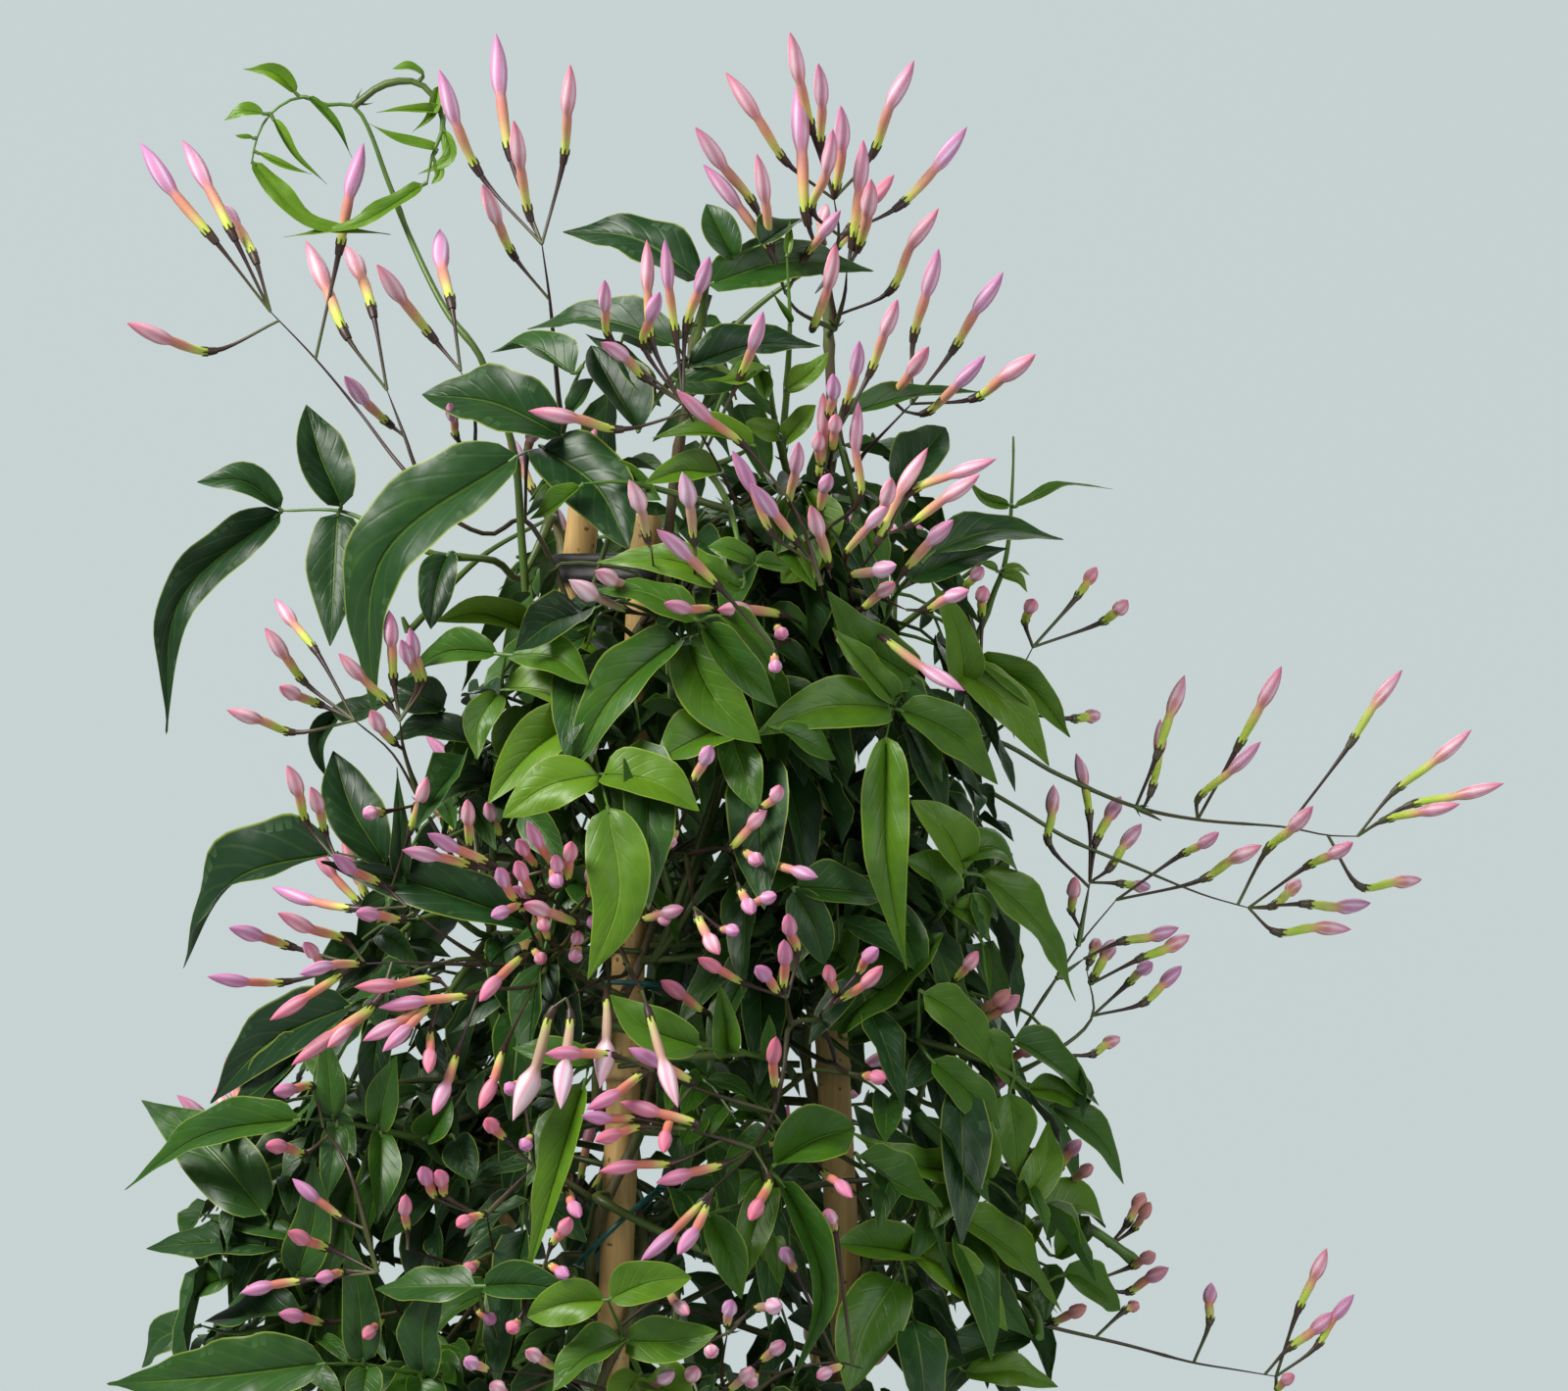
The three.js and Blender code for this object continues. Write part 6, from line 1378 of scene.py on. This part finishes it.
def bud_cyme(piece, joint, heading, count, length, blush):
    """A few buds that fan out from a joint."""
    chance = piece.chance
    for _ in range(count):
        way = unit(heading + scatter(chance, (-0.7, -0.7, -0.2), (0.7, 0.7, 0.7)))
        size = length * chance.uniform(0.7, 1.1)
        calyx = joint + way * chance.uniform(5, 12)
        tip = calyx + way * size
        tint = blush + chance.uniform(-0.2, 0.2)
        bud_on(piece, [joint, calyx, (calyx + tip) / 2, tip], tint, chance.uniform(0.6, 1))


# ---- Pot, soil, canes and ties ----
def lathe(piece, profile, sides, finish, **looks):
    """A turned skin about the pot's axis, from a profile of [radius, height] whose ends lie on the axis."""
    angle = TURN * np.arange(sides) / sides
    radius, height = np.array(profile[1:-1], float).T[:, :, None]
    level = np.broadcast_to(height, (len(height), sides))
    rings = np.stack([radius * np.cos(angle), radius * np.sin(angle), level], axis=-1)
    ends = ((0, 0, profile[0][1]), (0, 0, profile[-1][1]))
    piece.skin(rings, finish, ends, **looks)


def pot_radius_at(height):
    return POT_FOOT_RADIUS + (POT_RIM_RADIUS - RIM_STEP - POT_FOOT_RADIUS) * height / POT_HEIGHT


def rounded(profile, bends):
    """The profile with each bend given in bends cut to a small arc of that radius."""
    points = []
    for k, corner in enumerate(profile):
        corner = np.array(corner, float)
        if bends.get(k):
            before, after = np.array(profile[k - 1], float), np.array(profile[k + 1], float)
            start = corner + unit(before - corner) * bends[k]
            end = corner + unit(after - corner) * bends[k]
            for share in (0, 0.33, 0.67, 1):
                points.append((1 - share) ** 2 * start + 2 * share * (1 - share) * corner + share**2 * end)
        else:
            points.append(corner)
    return points


# The pot's foot stands on a ring, and its bottom is let in by FOOT_RECESS inside that.
FOOT_RING, FOOT_SLOPE, FOOT_RECESS = 8, 2, 1.5
# Bends of the pot's profile, counted from its middle, and the radius each is rounded to.
POT_BENDS = {2: 0.5, 3: 1.5, 4: 0.5, 5: 1.0, 6: 1.0, 7: 0.9, 8: 0.8, 10: 1.0}
DRAIN_HOLES, DRAIN_RADIUS, DRAIN_REACH = 4, 5, 40
# Dust begins at this share of the pot's height and thickens up to its rim.
DUST_FROM = 0.75
POT_SIDES = 120


def make_pot():
    piece = Piece("pot")
    step = POT_HEIGHT - RIM_HEIGHT
    outside = pot_radius_at(step)
    profile = [
        [0, FOOT_RECESS], [POT_FOOT_RADIUS - FOOT_RING - FOOT_SLOPE, FOOT_RECESS],
        [POT_FOOT_RADIUS - FOOT_RING, 0], [POT_FOOT_RADIUS, 0], [outside, step], [outside + RIM_STEP, step],
        [POT_RIM_RADIUS, POT_HEIGHT], [POT_RIM_RADIUS - POT_WALL, POT_HEIGHT],
        [outside + RIM_STEP - POT_WALL, step + POT_WALL], [outside - POT_WALL, step],
        [pot_radius_at(POT_FLOOR) - POT_WALL, POT_FLOOR], [0, POT_FLOOR],
    ]
    profile = rounded(profile, POT_BENDS)
    heights = np.array([point[1] for point in profile[1:-1]])
    dust = np.clip(heights / POT_HEIGHT - DUST_FROM, 0, 1) / (1 - DUST_FROM)
    lathe(piece, profile, POT_SIDES, POT, shade=dust[:, None])
    body = piece.make()
    for hole in range(DRAIN_HOLES):
        angle = TURN * hole / DRAIN_HOLES
        bpy.ops.mesh.primitive_cylinder_add(vertices=32, radius=DRAIN_RADIUS * MM, depth=4 * POT_FLOOR * MM)
        cutter = bpy.context.object
        cutter.location = (DRAIN_REACH * MM * math.cos(angle), DRAIN_REACH * MM * math.sin(angle), 0)
        cut = body.modifiers.new("drain hole", "BOOLEAN")
        cut.object = cutter
        cut.solver = "EXACT"
        bpy.context.view_layer.update()
        graph = bpy.context.evaluated_depsgraph_get()
        holed = bpy.data.meshes.new_from_object(body.evaluated_get(graph))
        body.modifiers.clear()
        body.data = holed
        bpy.data.objects.remove(cutter)


SOIL_SIDES, SOIL_RINGS = 150, 56
# Crumbs of soil: cells a millimetre, and each layer's [times finer, height].
CRUMB_CELLS = 0.09
CRUMBS = [[1, 1.6], [3.1, 1.0], [8, 0.5]]
# How much lower than the mound the crumbs and the bits of bark lie.
SOIL_SINK = 1.2
BARK_BITS = 330
BARK_SINK = 0.8
BARK_PROFILE = (0.35, 0.9, 1.0, 0.85, 0.3)
BARK_TONES = (0.0, 0.1, 0.25, 0.8)


def make_soil():
    """The soil to a low, crumbly mound, with bits of bark on it."""
    piece = Piece("soil")
    bottom = POT_FLOOR + GAP
    rim = pot_radius_at(SOIL_TOP) - POT_WALL - GAP
    angle = TURN * np.arange(SOIL_SIDES) / SOIL_SIDES
    radii = [pot_radius_at(bottom) - POT_WALL - GAP, rim] + list(np.linspace(rim, 1.5, SOIL_RINGS))
    rings = np.zeros((len(radii), SOIL_SIDES, 3))

    def mound(radius):
        return SOIL_TOP + SOIL_MOUND * (1 - (radius / rim) ** 2)

    for k, radius in enumerate(radii):
        rings[k, :, 0], rings[k, :, 1] = radius * np.cos(angle), radius * np.sin(angle)
        if k == 0:
            rings[k, :, 2] = bottom
            continue
        for j in range(SOIL_SIDES):
            spot = Vector(rings[k, j] * CRUMB_CELLS)
            rough = sum(height * noise.noise(spot * finer) for finer, height in CRUMBS)
            rings[k, j, 2] = mound(radius) - SOIL_SINK + rough * (0.3 if k == 1 else 1)
    piece.skin(rings, SOIL, ((0, 0, bottom), (0, 0, SOIL_TOP + SOIL_MOUND - SOIL_SINK)))
    chance = piece.chance
    for _ in range(BARK_BITS):
        radius, bearing = rim * math.sqrt(chance.random()) * 0.97, TURN * chance.random()
        middle = np.array([radius * math.cos(bearing), radius * math.sin(bearing), mound(radius) - BARK_SINK])
        way = unit(scatter(chance, (-1, -1, -0.4), (1, 1, 0.4)))
        size = chance.uniform(1.2, 4.2)
        line = Path([middle - way * size, middle, middle + way * size], samples=8)
        thick = size * chance.uniform(0.3, 0.6)
        girths = [thick * part * chance.uniform(0.8, 1.2) for part in BARK_PROFILE]
        tone = chance.choice(BARK_TONES) * chance.random()
        tube(piece, line, girths, SOIL, sides=6, step=size / 2.5, tone=tone)
    piece.make()


CANE_SIDES = 28
CANE_STEP = 4.0
CANE_NODE_EVERY = 88
CANE_NODE_SWELL = 0.45
# Rings beside a cane's node, so that its ridge and the dark line under it are sharp.
NODE_RINGS = (-1.6, -0.8, -0.3, 0.3, 0.9, 2.2)
# The hollow at a cane's sawn top: its radius as a share of the cane's, and its depth.
CANE_BORE = 0.42
CANE_HOLLOW = 7


def make_cane(node, cane):
    """A bamboo cane with a low ridge at each node and a hollow sawn top."""
    piece = Piece(node)
    foot, top = cane_at(cane, SOIL_TOP - CANE_DEPTH_IN_SOIL), np.array(CANES[cane][1], float)
    length = math.dist(foot, top)
    levels = list(np.arange(0, length, CANE_STEP))
    nodes = np.arange(CANE_NODE_EVERY * 0.6, length - 5, CANE_NODE_EVERY)
    for place in nodes:
        levels += [place + ring for ring in NODE_RINGS]
    levels = np.array(sorted(levels))
    swell = sum(CANE_NODE_SWELL * np.exp(-(((levels - place) / 1.1) ** 2)) for place in nodes)
    dark = sum(0.75 * np.exp(-(((levels - place + 0.9) / 0.8) ** 2)) for place in nodes)
    wander = 0.12 * np.sin(levels / 31 + cane)
    radius = CANE_RADIUS - 0.12 + swell + wander * 0.5
    bore = CANE_RADIUS * CANE_BORE
    # Level, radius and darkness over the sawn edge and down the hollow, where the darkness is painted shade.
    sawn = np.array([
        [length - 0.3, CANE_RADIUS - 0.1, 0.1], [length, CANE_RADIUS - 0.4, 0.35], [length, bore + 0.3, 0.3],
        [length - 0.5, bore, 0.9], [length - CANE_HOLLOW, bore * 0.9, 1.0],
    ])
    levels, radius, dark = np.hstack([(levels, radius, dark), sawn.T])
    ahead = unit(top - foot)
    side = np.broadcast_to(unit(np.cross(ahead, UP + [0, 1, 0])), (len(levels), 3))
    rings = round_rings(foot + levels[:, None] * ahead, side, np.cross(ahead, side), radius, CANE_SIDES)
    piece.skin(rings, CANE, (foot, top - ahead * CANE_HOLLOW), shade=dark[:, None])
    piece.make()


TIE_HEIGHT = 7
TIE_WALL = 2.2
TIE_LEVEL = 403


def make_tie():
    """The moulded tie round the left and middle canes: a band with round ends, soft edges and a groove."""
    piece = Piece("cane_tie")
    left, middle = cane_at(0, TIE_LEVEL), cane_at(1, TIE_LEVEL)
    radius, half = CANE_RADIUS + TIE_WALL, TIE_HEIGHT / 2
    ahead = unit((middle - left) * [1, 1, 0])
    aside = np.array([-ahead[1], ahead[0], 0])
    turns = np.linspace(math.pi / 2, 3 * math.pi / 2, 15)
    outline = [(left, angle) for angle in turns] + [(middle, angle + math.pi) for angle in turns]
    centres = np.array([centre for centre, _ in outline])
    outward = np.array([ahead * math.cos(angle) + aside * math.sin(angle) for _, angle in outline])
    # Levels from the band's middle, and how far its skin is let in there.
    lower = [(-half, 1.3), (-half + 0.25, 0.45), (-half + 0.9, 0), (-1.1, 0), (-0.8, 0.3)]

    def ring(level, inset):
        around = centres + (radius - inset) * outward
        around[:, 2] = TIE_LEVEL + level
        return around

    upper = [(-level, inset) for level, inset in reversed(lower)]
    piece.skin(np.array([ring(*row) for row in lower + upper]), TIE)
    piece.make()


WIRE_RADIUS = 0.6
LOOP_STEPS = 48
# The twisted ends: steps in all and in a turn, the length of a step, which is also the twist's radius, and
# how far the two ends part.
TWIST_STEPS, TWIST_TURN, TWIST = 15, 5, 0.62
WIRE_END = 1.2


def make_wire(node, level, reach, tilt):
    """A loop of coated wire round the middle cane and its vines, with its ends twisted together."""
    piece = Piece(node)
    foot, top = (np.array(end, float) for end in CANES[1])
    stand = Vector((0, 1, 0)).rotation_difference(Vector(unit(top - foot)))
    stand = stand @ Quaternion((0, 0, 1), math.radians(tilt)) @ Quaternion((1, 0, 0), math.pi / 2)
    centre = cane_at(1, level)

    def placed(x, y, z):
        return centre + np.array(stand @ Vector((x, y, z)))

    around = TURN * (np.arange(LOOP_STEPS) / LOOP_STEPS)
    loop = np.array([placed(reach * math.cos(turn), reach * math.sin(turn), 0) for turn in around])
    up = np.array(stand @ Vector((0, 0, 1)))
    normal = np.broadcast_to(up, loop.shape)
    rings = round_rings(loop, unit(loop - centre), normal, np.full(LOOP_STEPS, WIRE_RADIUS), 8)
    piece.skin(rings, WIRE, closed=True)
    for strand in (0, 1):
        points = []
        for k in range(TWIST_STEPS):
            wind = TURN * (k / TWIST_TURN + strand / 2)
            ahead = reach + WIRE_RADIUS / 2 + TWIST * k
            points.append(placed(ahead, TWIST * math.cos(wind), TWIST * math.sin(wind)))
        points.append(points[-1] + (points[-1] - points[-3]) * 0.8 + up * (WIRE_END if strand else -WIRE_END))
        tube(piece, Path(points, samples=60), (WIRE_RADIUS * 0.95,), WIRE, sides=8, step=0.7)
    piece.make()


# ---- The plant ----
# A stem's radii from its foot to its end, as shares of the first, and how thick its side stems are.
STEM_TAPER = [1.0, 0.85, 0.65, 0.2]
CUT_TAPER = [1.0, 1.0, 1.05, 1.15]
SIDE_STEM = 0.85
# The one branch without buds, and the height below which branches bear no leaves.
BUDLESS = "branch_low_front"
FOLIAGE_FROM = 130


def make_stems(piece, radius, low_shade, high_shade, taper=STEM_TAPER):
    for order, (path, shares) in enumerate(piece.stems):
        thick = radius * SIDE_STEM if order else radius
        count = max(4, round(path.length / 3)) + 1
        shade = np.linspace(low_shade, high_shade, count)[:, None]
        tube(piece, path, np.array(taper) * thick, STEM, sides=8, knots=shares[::2], shade=shade)


def dress_with_scales(piece, length, maroon):
    """Tiny pointed bracts in pairs at the forks."""
    for path, _ in piece.stems[1:]:
        spot, ahead = path.at(0.02), path.along(0.02)
        level = unit(np.cross(ahead, [0.3, -1, 0.2]))
        for side in (-1, 1):
            way = unit(ahead + level * side * 0.9)
            points = [spot, spot + way * length * 0.6, spot + way * length + ahead * 0.3 * length]
            line, tone = Path(points, samples=10), 0.5 - 0.3 * maroon
            blade(piece, line, 0.02, LEAF_FACING, length * 0.12, tone, rows=6, columns=4, limp=0.4)


def thicket_place(chance, height, nearest, farthest):
    """A place inside the foliage at a height, with depths as shares of the bush's half depth."""
    left, right = between(THICKET, height)
    _, half = between(BUSH, height)
    across = left + (right - left) * (0.5 + 0.5 * chance.uniform(-1, 1))
    room = math.sqrt(max(0.1, 1 - (across / max(abs(left), abs(right))) ** 2))
    depth = chance.uniform(nearest, farthest) * BULGE * half * room
    return np.array([across, depth, height])


def outward_at(place):
    """The level direction out of the bush at a place."""
    middle = between(BUSH, place[2])[0]
    return unit(np.array([place[0] - middle, place[1] / BULGE, 0]))


def grow_twig(piece, vine, height, end):
    """A short leafy twig from a vine into the thicket."""
    chance = piece.chance
    start, outward = vine.leave(height, end)
    middle = (start + end) / 2 + outward * 8 + UP * 6
    path = Path([start, start + outward * 4, middle, end], samples=40)
    tube(piece, path, (0.95, 0.6), STEM, sides=6, step=5, shade=0.2 + 0.3 * chance.random())
    outward = unit((end - cane_at(vine.cane, end[2])) * [1, 1, 0] + [0, -1e-3, 0])
    tone = chance.uniform(0.1, 0.5)
    for share in (0.55, 0.8):
        for side in (-1, 1):
            heading = turned(outward, side * chance.uniform(0.6, 1.4))
            heading = unit(heading + UP * chance.uniform(-0.3, 0.4))
            compound_leaf(piece, path.at(share), heading, chance.uniform(22, 31), tone)
    heading = unit(outward + UP * chance.uniform(-0.4, 0.3))
    compound_leaf(piece, end, heading, chance.uniform(26, 36), tone)


# Twigs along a vine: the lowest one's height on the first vine and how much higher it is on each next vine,
# the height they stop at, their spacing, and the nearest and farthest depth of their ends.
TWIGS = [[150, 5, 432, 21, -0.5, 0.75], [146, 6, 425, 26, -0.6, -0.1]]


def make_vine(vine, order):
    piece = Piece(vine.name)
    shares = np.arange(0.06, 1, 24 / vine.path.length)
    tube(piece, vine.path, (VINE_RADIUS, VINE_RADIUS, VINE_RADIUS * 0.9), WOOD, sides=9, knots=shares)
    for low, higher, top, spacing, nearest, farthest in TWIGS:
        for height in np.arange(low + higher * order, top, spacing):
            end = thicket_place(piece.chance, height + piece.chance.uniform(-6, 10), nearest, farthest)
            grow_twig(piece, vine, float(np.clip(height - 8, TWINE_START, TWINE_TOP - 6)), end)
    piece.make()


def make_shoot(row):
    # green is the shoot's greenness, partly the leaves' own tone and partly painted shade and light.
    name, _, _, set_back, green, stems, leaves = row
    piece = Piece(name)
    grow_drawn(piece, *row[1:4], stems)
    taper = CUT_TAPER if name == "shoot_right_pruned" else STEM_TAPER
    make_stems(piece, SHOOT_RADIUS, 0.35, 0.05, taper)
    for leaf in leaves:
        drawn_leaf(piece, leaf, set_back, green)
    dress_with_scales(piece, 3.2, 0.1)
    piece.make()


def make_spray(row):
    name, _, _, set_back, full_length, blush, stems, buds = row
    piece = Piece(name)
    grow_drawn(piece, *row[1:4], stems)
    green = GREEN_TUBES.get(name, GREEN_TUBE)
    make_stems(piece, SPRAY_RADIUS, 0.4 - 0.35 * green, 0.95 - 0.5 * green)
    for bud in buds:
        drawn_bud(piece, bud, set_back, full_length, blush)
    dress_with_scales(piece, 2.6, 0.8)
    piece.make()


def make_branch(row):
    name = row[0]
    piece = Piece(name)
    grow_branch(piece, *row[1:])
    for order, (path, _) in enumerate(piece.stems):
        shown = [share for share in np.linspace(0.1, 1, 19) if not in_the_way(path.at(share))] or [0.1]
        thick = SHOOT_RADIUS * SIDE_STEM if order else SHOOT_RADIUS
        tube(piece, path, (thick, 0.8 * thick, 0.45 * thick), STEM, sides=8, high=shown[-1], shade=0.25)
    chance = piece.chance
    for order, (joint, _) in enumerate(piece.joints):
        if joint[2] < FOLIAGE_FROM or in_the_way(joint):
            continue
        side = 1 if order % 2 else -1
        heading = turned(outward_at(joint), side * chance.uniform(0.2, 1.1))
        heading = unit(heading + UP * chance.uniform(-0.5, 0.2))
        compound_leaf(piece, joint, heading, chance.uniform(20, 29), chance.uniform(0.1, 0.6))
    for order in piece.ends[2::5]:
        if name != BUDLESS:
            joint = piece.joints[order][0]
            heading = unit(outward_at(joint) + UP * 0.6)
            bud_cyme(piece, joint, heading, chance.choice((3, 4, 5)), 19, chance.uniform(0.3, 0.8))
    piece.make()


make_pot()
make_soil()
for order, node in enumerate(("cane_left", "cane_middle", "cane_right")):
    make_cane(node, order)
make_tie()
make_wire("wire_tie_upper", 306, 9, 0)
make_wire("wire_tie_lower", 250, 12.2, 45)
for order, vine in enumerate(vines):
    make_vine(vine, order)
for row in SHOOTS:
    make_shoot(row)
for row in SPRAYS:
    make_spray(row)
for row in BRANCHES:
    make_branch(row)

# ---- Studio ----
PALE = (0.600, 0.680, 0.680)
DEEPER = (0.540, 0.610, 0.620)
FLOOR_RADIUS = 1.8
FLOOR_SIDES = 96
# What the lights are aimed at, and each light's name, place, size, strength and colour.
AIM = (0, 0, 0.33)
LIGHTS = [
  ("key", (-0.7, -0.55, 1.05), 0.45, 18.5, (1.0, 0.985, 0.94)),
  ("fill", (1.2, -1.1, 0.8), 1.0, 9, (0.97, 0.99, 1.0)),
  ("back", (0.3, 1.3, 1.3), 1.4, 10, (1.0, 1.0, 1.0)),
]
SKY_STRENGTH = 0.40
LENS = 146.74


def make_floor():
    """A pale round floor that fades out at its edge."""
    mesh = bpy.data.meshes.new("floor")
    turns = [TURN * k / FLOOR_SIDES for k in range(FLOOR_SIDES)]
    places = [(FLOOR_RADIUS * math.cos(turn), FLOOR_RADIUS * math.sin(turn), 0) for turn in turns]
    mesh.from_pydata(places, [], [list(range(FLOOR_SIDES))])
    finish = Finish("pale floor", roughness=0.9)
    cloud = finish.noise(3, detail=4)
    place = finish.node("ShaderNodeTexCoord", {}, {}, "Object")
    away = finish.node("ShaderNodeVectorMath", {"operation": "LENGTH"}, {0: place}, "Value")
    colour = finish.blend(cloud, (0.40, 0.44, 0.44), (0.46, 0.49, 0.49))
    mesh.materials.append(finish.paint(base_color=colour, alpha=away.rise(1.75, 0.9)))
    floor = bpy.data.objects.new("floor", mesh)
    bpy.context.scene.collection.objects.link(floor)


def make_light(name, place, size, energy, colour):
    """A square soft light of a size in metres."""
    light = bpy.data.lights.new(name, "AREA")
    light.shape, light.size, light.energy, light.color = "SQUARE", size, energy, colour
    lamp = bpy.data.objects.new(name, light)
    lamp.location = place
    lamp.rotation_euler = (Vector(AIM) - Vector(place)).to_track_quat("-Z", "Y").to_euler()
    bpy.context.scene.collection.objects.link(lamp)


def make_backdrop():
    """A pale dome all round, which the camera sees but which lights nothing."""
    bpy.ops.mesh.primitive_uv_sphere_add(segments=32, ring_count=16, radius=9)
    dome = bpy.context.object
    dome.name = "backdrop"
    finish = Finish("pale backdrop", roughness=1.0, base_color=(0.0, 0.0, 0.0), emission_strength=1.0)
    cloud = finish.noise(0.15, detail=1)
    dome.data.materials.append(finish.paint(emission_color=finish.blend(cloud, PALE, DEEPER)))
    finish.material.cycles.emission_sampling = "NONE"
    dome.visible_diffuse = dome.visible_glossy = dome.visible_transmission = dome.visible_shadow = False


def make_studio():
    make_floor()
    make_backdrop()
    for light in LIGHTS:
        make_light(*light)
    scene = bpy.context.scene
    scene.world = bpy.data.worlds.new("pale room")
    scene.world.use_nodes = True
    sky = scene.world.node_tree.nodes["Background"].inputs
    sky["Color"].default_value = (*PALE, 1)
    sky["Strength"].default_value = SKY_STRENGTH
    scene.view_settings.view_transform = "Standard"
    camera = bpy.data.cameras.new("camera")
    camera.lens, camera.sensor_width, camera.clip_start = LENS, 36, 0.05
    eye = bpy.data.objects.new("camera", camera)
    eye.location = EYE * MM
    eye.rotation_euler = (math.pi / 2, 0, 0)
    scene.collection.objects.link(eye)
    scene.camera = eye


make_studio()
